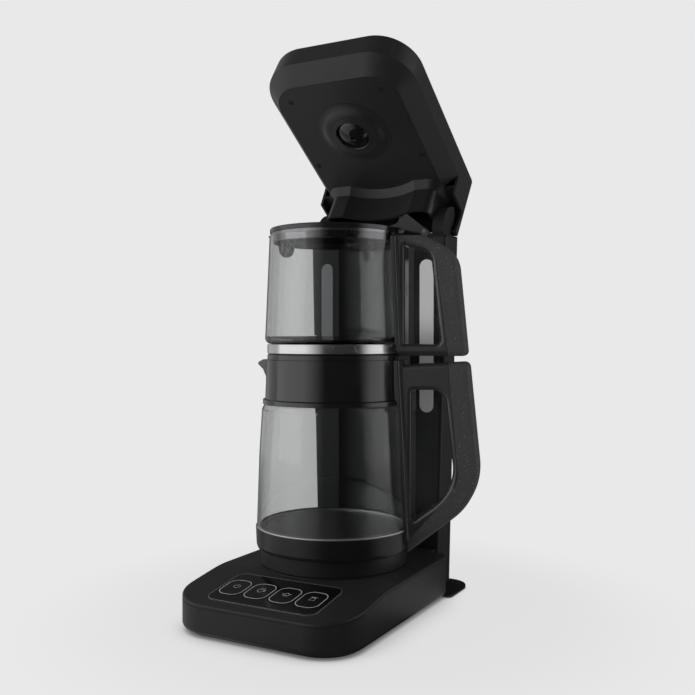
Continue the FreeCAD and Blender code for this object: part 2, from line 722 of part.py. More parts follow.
def deck_cover():
    high = DECK_TOP + PAST
    cover = slab(base_outline(0, SHELL_LOW), high - SHELL_LOW).common(under_deck(0))

    def on_top_rim(edge):
        level = deck_height(edge.BoundBox.YMin)
        return edge.BoundBox.ZMax > level - BITE and edge.BoundBox.ZMin > FLOOR_TOP + RIM_DEPTH
    rim = [e for e in edges_where(cover, on_top_rim) if is_outer(e)]
    cover = cover.makeFillet(DECK_EDGE_ROUND, rim)
    cover = cover.fuse(bridge(0, SHELL_LOW, DECK_TOP)).removeSplitter()
    cover = cover.cut(under_deck(DECK_THICK))
    inset = BASE_WALL + SEAT_GAP
    outer = base_block(inset, SHELL_LOW, high)
    inner = base_block(inset + LIP_THICK, SHELL_LOW - 1, high + 1)
    lip = outer.cut(inner).common(under_deck(DECK_THICK)).cut(under_deck(DECK_THICK + LIP_DEPTH))
    bosses = []
    for x, y in deck_screw_places():
        low = boss_low()
        bosses.append(cylinder(BOSS_RADIUS, deck_height(y) - DECK_THICK - low + BITE, Vector(x, y, low)))
    cover = fused([cover, lip] + bosses)
    for seat in base_screw_seats():
        cover = cover.cut(cylinder(SCREW_RADIUS + SCREW_PLAY, deck_screw_tip() + 1 - seat.z, seat))
    cover = cover.cut(cylinder(PLUG_LAND_RADIUS + SEAT_GAP, PAST, Vector(0, 0, DECK_TOP - PAST / 2)))
    cover = cover.cut(cylinder(PORT_RADIUS + SEAT_GAP, PAST, Vector(PORT_X, PORT_Y, DECK_TOP - PAST / 2)))
    cover = cover.cut(cylinder(DOCK_RADIUS + SEAT_GAP, PAST, Vector(0, 0, DECK_TOP - DOCK_SINK - SEAT_GAP)))
    cover = cover.cut(slope_slab(PANEL_HALF + TRIM_WIDTH + SEAT_GAP,
                                 -PANEL_LENGTH - TRIM_WIDTH - SEAT_GAP, TRIM_WIDTH + SEAT_GAP,
                                 PANEL_CORNER + TRIM_WIDTH, -PANEL_LEDGE - PIN_PLAY, PAST))
    for number in range(KEY_COUNT):
        cover = cover.cut(key_slab(number, KEY_GAP, -PAST, PAST))
    cover = cover.cut(cylinder(HOSE_RADIUS + SIDE_GAP, COLUMN_FRONT - BASE_REAR + PAST,
                               Vector(HOSE_X, BASE_REAR - PAST / 2, hose_z()), Y_AXIS))
    return cover


def is_outer(edge):
    """True for an edge that runs along the outline of the base."""
    middle = edge.valueAt((edge.FirstParameter + edge.LastParameter) / 2)
    inner = slab(base_outline(BITE, -WIDE / 2), WIDE)
    return not inner.isInside(middle, LEVEL, True)


def boss_low():
    return DECK_TOP - DECK_THICK - LIP_DEPTH - BOSS_DROP + SEAT_GAP


def dock_plate():
    low = DECK_TOP - DOCK_SINK
    disc = cylinder(DOCK_RADIUS, DOCK_SINK + DOCK_RAISE, Vector(0, 0, low))
    disc = disc.cut(cylinder(PLUG_LAND_RADIUS + SEAT_GAP, PAST, Vector(0, 0, DECK_TOP - PAST / 2)))
    return disc.cut(cylinder(PORT_RADIUS + SEAT_GAP, PAST, Vector(PORT_X, PORT_Y, DECK_TOP - PAST / 2)))


def deck_screw_tip():
    return DECK_TOP - DECK_THICK - DECK_SCREW_COVER


def base_screws():
    return [screw(seat, length=deck_screw_tip() - seat.z) for seat in base_screw_seats()]


def control_panel():
    low = -PANEL_LEDGE
    high = PANEL_RAISE
    plate = slope_slab(PANEL_HALF, -PANEL_LENGTH, 0, PANEL_CORNER, low, high)
    for number in range(KEY_COUNT):
        plate = plate.cut(key_slab(number, KEY_GAP, low - 1, high + 1))
    return plate


def panel_trim():
    low = -PANEL_LEDGE
    high = PANEL_RAISE + PRESS_GAP
    outer = slope_slab(PANEL_HALF + TRIM_WIDTH, -PANEL_LENGTH - TRIM_WIDTH, TRIM_WIDTH,
                       PANEL_CORNER + TRIM_WIDTH, low, high)
    inner = slope_slab(PANEL_HALF, -PANEL_LENGTH, 0, PANEL_CORNER, low - 1, high + 1)
    return outer.cut(inner)


def key(number):
    low = -DECK_THICK
    cap = key_slab(number, 0, low, KEY_RAISE)
    def top_rim(edge):
        ends = [vertex.Point for vertex in edge.Vertexes]
        lift = min((p - slope_place(0, 0, 0)).dot(slope_normal()) for p in ends)
        return lift > KEY_RAISE - LEVEL
    cap = cap.makeFillet(KEY_TOP_ROUND, edges_where(cap, top_rim))
    flange = key_slab(number, KEY_FLANGE, KEY_UNDER, KEY_UNDER + KEY_FLANGE_THICK)
    neck = key_slab(number, -KEY_FLANGE_THICK, low - BITE, low)
    stem = cylinder(KEY_STEM_RADIUS, KEY_STEM_LENGTH, Vector(0, 0, KEY_UNDER - KEY_STEM_LENGTH))
    stem.translate(Vector(key_centre(number), KEY_MIDDLE, 0))
    return fused([cap, neck, flange, laid_on_slope(stem)])


def slope_normal():
    return Vector(0, -math.sin(SLOPE), math.cos(SLOPE))


def switch_top():
    """The switches' plungers lie one travel and a little play below the key stems."""
    return KEY_UNDER - KEY_STEM_LENGTH - KEY_TRAVEL - PRESS_GAP


def board_top():
    return switch_top() - SWITCH_HEIGHT


def control_board():
    low = board_top() - BOARD_THICK
    half = PANEL_HALF - BOARD_MARGIN
    board = slope_slab(half, -PANEL_LENGTH + BOARD_MARGIN, -BOARD_MARGIN, BOARD_CORNER,
                       low, board_top())
    return fused([board] + tact_switches())


def tact_switches():
    parts = []
    for number in range(KEY_COUNT):
        body = box(-SWITCH_SIDE / 2, SWITCH_SIDE / 2, -SWITCH_SIDE / 2, SWITCH_SIDE / 2,
                   board_top(), board_top() + SWITCH_HEIGHT - SWITCH_PLUNGER)
        plunger = cylinder(SWITCH_PLUNGER_RADIUS, SWITCH_PLUNGER,
                           Vector(0, 0, board_top() + SWITCH_HEIGHT - SWITCH_PLUNGER))
        part = body.fuse(plunger)
        part.translate(Vector(key_centre(number), KEY_MIDDLE, 0))
        parts.append(laid_on_slope(part))
    return parts


def board_standoffs():
    """Posts from the base's floor to the underside of the sloping control board."""
    half = PANEL_HALF - BOARD_MARGIN
    under = board_top() - BOARD_THICK
    parts = []
    for x in (-half + STANDOFF_INSET, half - STANDOFF_INSET):
        for along in (BOARD_MARGIN + STANDOFF_INSET, PANEL_LENGTH - BOARD_MARGIN - STANDOFF_INSET):
            top = slope_place(x, along, under)
            post = cylinder(STANDOFF_RADIUS, DECK_TOP, Vector(top.x, top.y, FLOOR_TOP - BITE))
            above = slope_slab(WIDE / 2, -WIDE / 2, WIDE / 2, PAST, under - SEAT_GAP, under + DECK_TOP)
            parts.append(post.cut(above))
    return parts


def power_connector():
    flange_high = DECK_TOP - DECK_THICK - SEAT_GAP
    body = cylinder(PLUG_BODY_RADIUS, PLUG_BODY_DEPTH, Vector(0, 0, flange_high - PLUG_BODY_DEPTH))
    flange = cylinder(PLUG_FLANGE_RADIUS, PLUG_FLANGE_THICK, Vector(0, 0, flange_high - PLUG_FLANGE_THICK))
    land_high = DECK_TOP + DOCK_RAISE
    land = cylinder(PLUG_LAND_RADIUS, land_high - flange_high + 1, Vector(0, 0, flange_high - 1))
    cone = Part.makeCone(PLUG_RADIUS, PLUG_TOP_RADIUS, PLUG_HEIGHT, Vector(0, 0, land_high))
    plug = fused([body, flange, land, cone])
    top = land_high + PLUG_HEIGHT
    socket = cylinder(PLUG_SOCKET_RADIUS, PLUG_SOCKET_DEPTH + 1, Vector(0, 0, top - PLUG_SOCKET_DEPTH))
    plug = plug.cut(socket)
    groove = ring(PLUG_TOP_RADIUS - PLUG_GROOVE_OUTER, PLUG_TOP_RADIUS - PLUG_GROOVE_INNER, PAST,
                  Vector(0, 0, top - PLUG_GROOVE_DEPTH))
    return plug.cut(groove)


def connector_posts():
    """Four posts that carry the power connector's flange from the base's floor."""
    high = DECK_TOP - DECK_THICK - SEAT_GAP - PLUG_FLANGE_THICK
    reach = PLUG_FLANGE_RADIUS - CONNECTOR_POST_RADIUS
    places = [math.tau * (n + 1 / 2) / CONNECTOR_POST_COUNT for n in range(CONNECTOR_POST_COUNT)]
    return [cylinder(CONNECTOR_POST_RADIUS, high - FLOOR_TOP,
                     Vector(reach * math.cos(a), reach * math.sin(a), FLOOR_TOP)) for a in places]


def water_port():
    low = DECK_TOP - DECK_THICK - PORT_CUP_DEPTH
    cup = ring(PORT_RADIUS, PORT_BORE, DECK_TOP - low, Vector(PORT_X, PORT_Y, low))
    flange = ring(PORT_RADIUS + PORT_FLANGE, PORT_BORE, PORT_FLANGE_THICK,
                  Vector(PORT_X, PORT_Y, DECK_TOP - DECK_THICK - SEAT_GAP - PORT_FLANGE_THICK))
    return cup.fuse(flange).removeSplitter()


def pump_axis_z():
    return FLOOR_TOP + PUMP_RADIUS + PUMP_CLEARANCE


HOSE_X = 12.0


def hose_z():
    return pump_axis_z()


def pump_motor():
    start = Vector(PUMP_X - MOTOR_LENGTH / 2, PUMP_Y, pump_axis_z())
    can = cylinder(MOTOR_RADIUS, MOTOR_LENGTH, start, X_AXIS)
    boss = cylinder(MOTOR_BOSS_RADIUS, MOTOR_BOSS_LENGTH, start - X_AXIS * MOTOR_BOSS_LENGTH, X_AXIS)
    return can.fuse(boss).removeSplitter()


def pump_head():
    start = Vector(PUMP_X + MOTOR_LENGTH / 2, PUMP_Y, pump_axis_z())
    body = cylinder(PUMP_RADIUS, PUMP_LENGTH, start, X_AXIS)
    inlet_base = start + Vector(PUMP_LENGTH / 2, -PUMP_RADIUS + 1, 0)
    inlet = cylinder(NIPPLE_RADIUS, NIPPLE_LENGTH, inlet_base, Vector(0, -1, 0))
    outlet = cylinder(NIPPLE_RADIUS, NIPPLE_LENGTH, start + X_AXIS * (PUMP_LENGTH - 1), X_AXIS)
    return fused([body, inlet, outlet])


def swept_hose(points, bend, outer, bore):
    """A hose along straight runs joined by round bends, with a socket in each end."""
    edges = []
    here = points[0]
    for before, corner, after in zip(points, points[1:], points[2:]):
        back = (before - corner).normalize()
        on = (after - corner).normalize()
        half_angle = back.getAngle(on) / 2
        trim = bend / math.tan(half_angle)
        start = corner + back * trim
        end = corner + on * trim
        bisector = (back + on).normalize()
        centre = corner + bisector * (bend / math.sin(half_angle))
        middle = centre - bisector * bend
        edges.append(segment(here, start))
        edges.append(arc_through(start, middle, end))
        here = end
    edges.append(segment(here, points[-1]))
    path = Part.Wire(edges)
    body = path.makePipe(round_wire(points[0], points[1], outer))
    for end, inside in ((points[0], points[1]), (points[-1], points[-2])):
        direction = (inside - end).normalize()
        body = body.cut(cylinder(bore, HOSE_SOCKET, end, direction))
    return body


def round_wire(place, towards, radius):
    circle = Part.Circle(place, (towards - place).normalize(), radius)
    return Part.Face(Part.Wire(circle.toShape()))


def inlet_hose():
    """From the water port down and along to the pump's inlet."""
    inlet_x = PUMP_X + MOTOR_LENGTH / 2 + PUMP_LENGTH / 2
    start = Vector(PORT_X, PORT_Y, DECK_TOP - DECK_THICK - 3 - SEAT_GAP)
    corner = Vector(PORT_X, PORT_Y, pump_axis_z())
    turn = Vector(PORT_X, INLET_TURN_Y, pump_axis_z())
    run = Vector(inlet_x, INLET_RUN_Y, pump_axis_z())
    end = Vector(inlet_x, PUMP_Y - PUMP_RADIUS + 1 - NIPPLE_LENGTH + 5, pump_axis_z())
    return swept_hose([start, corner, turn, run, end], HOSE_BEND, HOSE_RADIUS, NIPPLE_RADIUS + PRESS_GAP)


def riser_hose():
    """From the pump's outlet into the column and up to the swivel on the hinge's axis."""
    begin_x = PUMP_X + MOTOR_LENGTH / 2 + PUMP_LENGTH - 1 + NIPPLE_LENGTH - 5
    start = Vector(begin_x, PUMP_Y, hose_z())
    corner = Vector(HOSE_X, PUMP_Y, hose_z())
    back = Vector(HOSE_X, RISER_Y, hose_z())
    top = Vector(HOSE_X, RISER_Y, COLUMN_TOP - 1)
    return swept_hose([start, corner, back, top], HOSE_BEND, HOSE_RADIUS, NIPPLE_RADIUS + PRESS_GAP)


def power_board_span():
    """The board's edges: left, right, front and rear."""
    front = POWER_BOARD_Y - POWER_BOARD_LENGTH / 2
    return POWER_BOARD_LEFT, BASE_HALF - POWER_BOARD_INSET, front, front + POWER_BOARD_LENGTH


def power_board_corners():
    x0, x1, y0, y1 = power_board_span()
    inset = STANDOFF_RADIUS + BOARD_EDGE
    return [(x, y) for x in (x0 + inset, x1 - inset) for y in (y0 + inset, y1 - inset)]


def power_board():
    low = FLOOR_TOP + STANDOFF_HEIGHT
    x0, x1, y0, y1 = power_board_span()
    high = low + BOARD_THICK
    parts = [box(x0, x1, y0, y1, low, high)]
    near = (x0 + BOARD_EDGE, y0 + BOARD_EDGE)
    right = x1 - BOARD_EDGE
    for size, x, y in ((RELAY_SIZE, near[0], near[1]),
                       (TRANSFORMER_SIZE, right - TRANSFORMER_SIZE[0], POWER_BOARD_Y),
                       (TERMINAL_SIZE, right - TERMINAL_SIZE[0], near[1])):
        width, length, height = size
        parts.append(box(x, x + width, y, y + length, high, high + height))
    capacitor_y = y1 - BOARD_EDGE - CAPACITOR_RADIUS * 2
    parts.append(cylinder(CAPACITOR_RADIUS, CAPACITOR_HEIGHT,
                          Vector(near[0] + CAPACITOR_RADIUS, capacitor_y, high)))
    return fused(parts)


# ---------------------------------------------------------------- column
def column_half(z):
    share = (z - PLATE_HIGH) / (COLUMN_TOP - PLATE_HIGH)
    return COLUMN_HALF_FOOT + (COLUMN_HALF_TOP - COLUMN_HALF_FOOT) * share


def column_block(inset, low, high, front, rear, round_front, round_rear):
    """The tapering column between two levels, drawn in by an inset."""
    wires = []
    for z in (low, high):
        wires.append(rounded_outline(column_half(z) - inset, front, rear, round_front, round_rear, z))
    return Part.makeLoft(wires, True, True)


def channel(radius, low, high):
    return cylinder(radius, high - low, Vector(0, 0, low))


COLUMN_LOW = PLATE_HIGH + FACE_GAP
COVER_TOP = COLUMN_TOP - CAP_THICK - FACE_GAP


def strip_wire(x, grow, y):
    """The outline of an upright strip with round ends."""
    r = STRIP_WIDTH / 2 + grow
    low = STRIP_LOW + STRIP_WIDTH / 2
    high = STRIP_HIGH - STRIP_WIDTH / 2
    return Part.Wire([
        segment(Vector(x - r, y, low), Vector(x - r, y, high)),
        arc_through(Vector(x - r, y, high), Vector(x, y, high + r), Vector(x + r, y, high)),
        segment(Vector(x + r, y, high), Vector(x + r, y, low)),
        arc_through(Vector(x + r, y, low), Vector(x, y, low - r), Vector(x - r, y, low))])


def light_strip(side):
    y = COLUMN_FRONT - STRIP_RAISE
    wire = strip_wire(side * STRIP_X, 0, y)
    strip = Part.Face(wire).extrude(Vector(0, STRIP_RAISE + STRIP_DEPTH, 0))
    front = edges_where(strip, lambda e: e.BoundBox.YMax < y + LEVEL)
    return strip.makeFillet(STRIP_ROUND, front)


def column_front():
    outer = column_block(0, COLUMN_LOW, COVER_TOP, COLUMN_FRONT, COLUMN_REAR,
                         COLUMN_EDGE_ROUND, COLUMN_REAR_ROUND)
    outer = outer.cut(channel(CHANNEL_RADIUS, FLOOR_LEVEL, WIDE))
    inner = column_block(COLUMN_WALL, COLUMN_LOW + COLUMN_WALL, COVER_TOP + 5,
                         COLUMN_FRONT + COLUMN_WALL, COLUMN_REAR - COLUMN_WALL,
                         COLUMN_EDGE_ROUND, COLUMN_REAR_ROUND - COLUMN_WALL)
    inner = inner.cut(channel(CHANNEL_RADIUS + COLUMN_WALL, FLOOR_LEVEL, WIDE))
    shell = outer.cut(inner)
    shell = shell.cut(box(-WIDE / 2, WIDE / 2, COLUMN_SPLIT, COLUMN_REAR + PAST, FLOOR_LEVEL, WIDE))
    for side in (-1, 1):
        wire = strip_wire(side * STRIP_X, STRIP_PLAY, COLUMN_FRONT - 2)
        shell = shell.cut(Part.Face(wire).extrude(Vector(0, STRIP_DEPTH + 2, 0)))
    shell = shell.cut(cylinder(HOSE_RADIUS + SIDE_GAP, 20,
                               Vector(HOSE_X, COLUMN_FRONT - 2, hose_z()), Y_AXIS))
    bosses = []
    for place in back_screw_places():
        start = Vector(place.x, BACK_BOSS_START, place.z)
        length = COLUMN_REAR - COLUMN_WALL - SEAT_GAP - BACK_BOSS_START
        hole = cylinder(SCREW_RADIUS + SCREW_PLAY, BACK_SCREW_LENGTH,
                        place - Y_AXIS * BACK_SCREW_LENGTH, Y_AXIS)
        bosses.append(cylinder(BACK_BOSS_RADIUS, length, start, Y_AXIS).cut(hole))
    return fused([shell] + bosses)


def back_screw_places():
    return [Vector(side * BACK_SCREW_X, COLUMN_REAR, z) for side in (-1, 1) for z in BACK_SCREW_HEIGHTS]


def column_back():
    outer = column_block(0, COLUMN_LOW, COVER_TOP, COLUMN_FRONT, COLUMN_REAR,
                         COLUMN_EDGE_ROUND, COLUMN_REAR_ROUND)
    inner = column_block(COLUMN_WALL, COLUMN_LOW + COLUMN_WALL, COVER_TOP + 5,
                         COLUMN_FRONT + COLUMN_WALL, COLUMN_REAR - COLUMN_WALL,
                         COLUMN_EDGE_ROUND, COLUMN_REAR_ROUND - COLUMN_WALL)
    shell = outer.cut(inner)
    front_side = box(-WIDE / 2, WIDE / 2, 0, COLUMN_SPLIT + SEAT_GAP, FLOOR_LEVEL, WIDE)
    shell = shell.cut(front_side)
    for row in range(BACK_VENT_ROWS):
        z = BACK_VENT_LOW + row * BACK_VENT_PITCH
        shell = shell.cut(box(-BACK_VENT_HALF, BACK_VENT_HALF, COLUMN_REAR - 2 * COLUMN_WALL,
                              COLUMN_REAR + COLUMN_WALL, z, z + VENT_WIDTH))
    for place in back_screw_places():
        shell = shell.cut(cylinder(SCREW_RADIUS + SCREW_PLAY, 8, place - Y_AXIS * 5, Y_AXIS))
        sink = cylinder(SCREW_HEAD_RADIUS + SCREW_PLAY, 4, place - Y_AXIS * BACK_SCREW_SINK, Y_AXIS)
        shell = shell.cut(sink)
    gland = cylinder(GLAND_RADIUS, PAST, Vector(GLAND_X, COLUMN_REAR - PAST / 2, GLAND_Z), Y_AXIS)
    return shell.cut(gland)


def back_screws():
    parts = []
    for place in back_screw_places():
        seat = place - Y_AXIS * BACK_SCREW_SINK
        head = cylinder(SCREW_HEAD_RADIUS, BACK_SCREW_SINK, seat, Y_AXIS)
        length = BACK_SCREW_LENGTH - BACK_SCREW_SINK - 1
        shank = cylinder(SCREW_RADIUS, length, seat - Y_AXIS * length, Y_AXIS)
        parts.append(head.fuse(shank).removeSplitter())
    return parts


def cord_gland():
    wall = COLUMN_REAR - COLUMN_WALL
    start = Vector(GLAND_X, wall - GLAND_FLANGE, GLAND_Z)
    body = ring(GLAND_RADIUS - GLAND_PLAY, GLAND_BORE, GLAND_FLANGE + COLUMN_WALL, start, Y_AXIS)
    flange = ring(GLAND_RADIUS + GLAND_LIP, GLAND_BORE, GLAND_FLANGE - GLAND_PLAY, start, Y_AXIS)
    return body.fuse(flange).removeSplitter()


# ---------------------------------------------------------------- hinge
def hinge_point(x):
    return Vector(x, HINGE_Y, HINGE_Z)


def hinge_housing():
    """The column's top plate with the hinge lugs and the dark towers at its sides."""
    low = COLUMN_TOP - CAP_THICK
    plate = column_block(0, low, COLUMN_TOP, COLUMN_FRONT, COLUMN_REAR,
                         COLUMN_EDGE_ROUND, COLUMN_REAR_ROUND)
    plate = plate.cut(channel(CHANNEL_RADIUS, 0, WIDE))
    plug = column_block(COLUMN_WALL + SEAT_GAP, low - CAP_PLUG_DEPTH, low, COLUMN_FRONT + COLUMN_WALL + SEAT_GAP,
                        COLUMN_REAR - COLUMN_WALL - SEAT_GAP, COLUMN_EDGE_ROUND,
                        COLUMN_REAR_ROUND - COLUMN_WALL)
    plug = plug.cut(channel(CHANNEL_RADIUS + COLUMN_WALL + SEAT_GAP, 0, WIDE))
    wall = COLUMN_WALL + CAP_PLUG_WALL
    hollow = column_block(wall, low - CAP_PLUG_DEPTH - 1, low - LEVEL, COLUMN_FRONT + wall,
                          COLUMN_REAR - wall, *CAP_PLUG_ROUNDS)
    hollow = hollow.cut(channel(CHANNEL_RADIUS + wall, 0, WIDE))
    parts = [plate, plug.cut(hollow)]
    for side in (-1, 1):
        x0, x1 = side_span(side, TOWER_HALF - TOWER_SIDE_WIDTH, TOWER_HALF)
        round_top = cylinder(TOWER_RADIUS, x1 - x0, hinge_point(x0), X_AXIS)
        keep = box(x0, x1, HINGE_Y - TOWER_RADIUS, HINGE_Y + KNUCKLE_RADIUS, COLUMN_TOP - BITE,
                   HINGE_Z + TOWER_RADIUS)
        parts.append(round_top.common(keep))
        x0, x1 = side_span(side, LUG_INNER, LUG_INNER + LUG_WIDTH)
        parts.append(cylinder(KNUCKLE_RADIUS, x1 - x0, hinge_point(x0), X_AXIS))
        parts.append(box(x0, x1, HINGE_Y - KNUCKLE_RADIUS + LUG_EASE, HINGE_Y + KNUCKLE_RADIUS - LUG_EASE,
                         COLUMN_TOP - BITE, HINGE_Z))
    body = fused(parts)
    for side in (-1, 1):
        x0, x1 = side_span(side, LUG_INNER - 1, TOWER_HALF + 1)
        body = body.cut(cylinder(HINGE_PIN_RADIUS + PIN_PLAY, x1 - x0, hinge_point(x0), X_AXIS))
    passage = cylinder(HOSE_RADIUS + SIDE_GAP, PAST, Vector(HOSE_X, RISER_Y, COLUMN_TOP - PAST / 2))
    return body.cut(passage)


def side_span(side, near, far):
    """The x range of a piece that lies between two distances on one side."""
    return min(side * near, side * far), max(side * near, side * far)


def hinge_pins():
    parts = []
    for side in (-1, 1):
        x0, x1 = side_span(side, LUG_INNER - BITE, PIN_END)
        parts.append(cylinder(HINGE_PIN_RADIUS, x1 - x0, hinge_point(x0), X_AXIS))
    return parts


def hinge_washers():
    """Friction washers between the housing and the head, which hold the head where it is left."""
    parts = []
    for side in (-1, 1):
        x0, x1 = side_span(side, HOOD_HALF + SEAT_GAP, TOWER_HALF - TOWER_SIDE_WIDTH - WASHER_EASE)
        parts.append(ring(WASHER_RADIUS, HINGE_PIN_RADIUS + PIN_PLAY, x1 - x0, hinge_point(x0), X_AXIS))
    return parts


# ---------------------------------------------------------------- head, drawn closed
def head_outline(half, front, corner, rear, z):
    return rounded_outline(half, front, rear, corner, HEAD_CORNER_REAR, z)


def head_body(inset, low_z, low_inset, wall_z, high_z):
    """The head's bevelled underside and upright walls, drawn in by the insets."""
    low = head_outline(HEAD_PLATE_HALF - low_inset, HEAD_PLATE_FRONT + low_inset,
                       HEAD_PLATE_CORNER - low_inset, HEAD_REAR - inset, low_z)
    high = head_outline(HEAD_HALF - inset, HEAD_FRONT + inset, HEAD_CORNER_FRONT - inset,
                        HEAD_REAR - inset, wall_z)
    bevel = Part.makeLoft([low, high], True, True)
    walls = slab(high, high_z - wall_z)
    return bevel.fuse(walls).removeSplitter()


HEAD_WALL_Z = HEAD_PLATE_Z + HEAD_BEVEL_HEIGHT
HEAD_TOP_Z = HEAD_WALL_Z + HEAD_WALL_HEIGHT


def cheeks():
    """The flat sides that run down behind the bevel to the knuckles on the hinge."""
    points = [(CHEEK_FRONT, HEAD_WALL_Z + 1), (CHEEK_FRONT + CHEEK_LEAN, CHEEK_LOW_FRONT),
              (CHEEK_STRIP_FRONT, CHEEK_LOW_FRONT - 1), (CHEEK_STRIP_FRONT + 1, CHEEK_LOW_REAR),
              (HINGE_Y - KNUCKLE_RADIUS, HINGE_Z), (HINGE_Y, HINGE_Z - 1), (HEAD_REAR, REAR_LOW),
              (HEAD_REAR, HEAD_WALL_Z + 1)]
    outline = loop_of([Vector(0, y, z) for y, z in points])
    block = side_slab(outline.Edges, HEAD_HALF)
    knuckle = cylinder(KNUCKLE_RADIUS, 2 * HEAD_HALF, hinge_point(-HEAD_HALF), X_AXIS)
    body = block.fuse(knuckle)
    keep = slab(head_outline(HEAD_HALF, HEAD_FRONT, HEAD_CORNER_FRONT, HEAD_REAR, 0), 2 * WIDE)
    return body.common(keep)


def rear_top_corner(inset):
    """What lies outside the round of the head's long top edge at the rear."""
    radius = HEAD_REAR_ROUND - inset
    y = HEAD_REAR - HEAD_REAR_ROUND
    z = HEAD_TOP_Z - HEAD_REAR_ROUND
    corner = box(-WIDE / 2, WIDE / 2, y, y + 2 * HEAD_REAR_ROUND, z, z + 2 * HEAD_REAR_ROUND)
    return corner.cut(cylinder(radius, WIDE, Vector(-WIDE / 2, y, z), X_AXIS))


def head_cover():
    body = head_body(0, HEAD_PLATE_Z, 0, HEAD_WALL_Z, HEAD_TOP_Z)
    top = edges_where(body, lambda e: e.BoundBox.ZMin > HEAD_TOP_Z - LEVEL)
    body = body.makeFillet(HEAD_TOP_ROUND, top).cut(rear_top_corner(0))
    rear_cut = box(-WIDE / 2, WIDE / 2, CHEEK_FRONT, HEAD_REAR + 1, HEAD_PLATE_Z - 1, HEAD_WALL_Z)
    body = body.cut(rear_cut).fuse(cheeks())
    wall = HEAD_WALL
    hollow = head_body(wall, HEAD_PLATE_Z + PLATE_SEAT, HEAD_WALL - PLATE_SEAT + BEVEL_EXTRA,
                       HEAD_WALL_Z + BEVEL_SHIFT, HEAD_TOP_Z - wall)
    body = body.cut(hollow.cut(rear_top_corner(wall)))
    pocket = slab(rounded_outline(HEAD_HALF - wall, CHEEK_FRONT, HEAD_REAR - wall, POCKET_CORNER,
                                  HEAD_CORNER_REAR - wall, 0), HEAD_WALL_Z + 1)
    body = body.cut(pocket)
    opening = slab(rounded_outline(HEAD_PLATE_HALF - PLATE_REVEAL, HEAD_PLATE_FRONT + PLATE_REVEAL,
                                   CHEEK_FRONT + 5, HEAD_PLATE_CORNER - PLATE_REVEAL,
                                   PLATE_CORNER_REAR, HEAD_PLATE_Z - 1), PLATE_SEAT + OPENING_EXTRA)
    body = body.cut(opening)
    bosses = []
    for x, y in head_screw_places():
        low = HEAD_PLATE_Z + HEAD_PLATE_THICK + SEAT_GAP
        boss = cylinder(HEAD_BOSS_RADIUS, HEAD_TOP_Z - wall - low + BITE, Vector(x, y, low))
        hole = cylinder(SCREW_RADIUS + SCREW_PLAY, SCREW_LENGTH, Vector(x, y, low - 1))
        bosses.append(boss.cut(hole))
    body = fused([body] + bosses)
    for side in (-1, 1):
        x0, x1 = side_span(side, TOWER_HALF - PIN_POCKET, PIN_END + PIN_ROOM)
        body = body.cut(cylinder(HINGE_PIN_RADIUS + PIN_PLAY, x1 - x0, hinge_point(x0), X_AXIS))
    return body


def head_screw_places():
    places = []
    for side in (-1, 1):
        places.append((side * HEAD_SCREW_FRONT_X, HEAD_SCREW_FRONT_Y))
        places.append((side * HEAD_SCREW_REAR_X, HEAD_SCREW_REAR_Y))
    return places


def head_plate():
    reveal = PLATE_REVEAL + SEAT_GAP
    plate = slab(rounded_outline(HEAD_PLATE_HALF - reveal, HEAD_PLATE_FRONT + reveal, CHEEK_FRONT + PLATE_TUCK,
                                 HEAD_PLATE_CORNER - reveal, PLATE_CORNER_REAR, HEAD_PLATE_Z), HEAD_PLATE_THICK)
    half = HEAD_HALF - HEAD_WALL - SEAT_GAP
    ceiling = slab(rounded_outline(half, CHEEK_FRONT + 1, HEAD_REAR - HEAD_WALL - SEAT_GAP,
                                   PLATE_CORNER_REAR, HEAD_CORNER_REAR - HEAD_WALL, HEAD_PLATE_Z), HEAD_PLATE_THICK)
    plate = plate.fuse(ceiling).removeSplitter()
    for x, y in head_screw_places():
        plate = plate.cut(screw_room(Vector(x, y, HEAD_PLATE_Z + SCREW_HEAD_HEIGHT)))
    plate = plate.cut(cylinder(NIPPLE_RADIUS + NIPPLE_ROOM, PAST, Vector(0, 0, HEAD_PLATE_Z - 2)))
    return plate.cut(cylinder(HOSE_RADIUS + SIDE_GAP, PAST, Vector(HOSE_X, HEAD_HOSE_Y, HEAD_PLATE_Z - 2)))


def head_screws():
    return [screw(Vector(x, y, HEAD_PLATE_Z + SCREW_HEAD_HEIGHT)) for x, y in head_screw_places()]


def hood_block(inset, low, high, rear):
    block = slab(rounded_outline(HOOD_HALF - inset, HOOD_FRONT + inset, rear, HOOD_CORNER - inset,
                                 HOOD_CORNER_REAR, low), high - low)
    return block.cut(cylinder(HOOD_SCALLOP_RADIUS + inset, high - low + 2, Vector(0, 0, low - 1)))


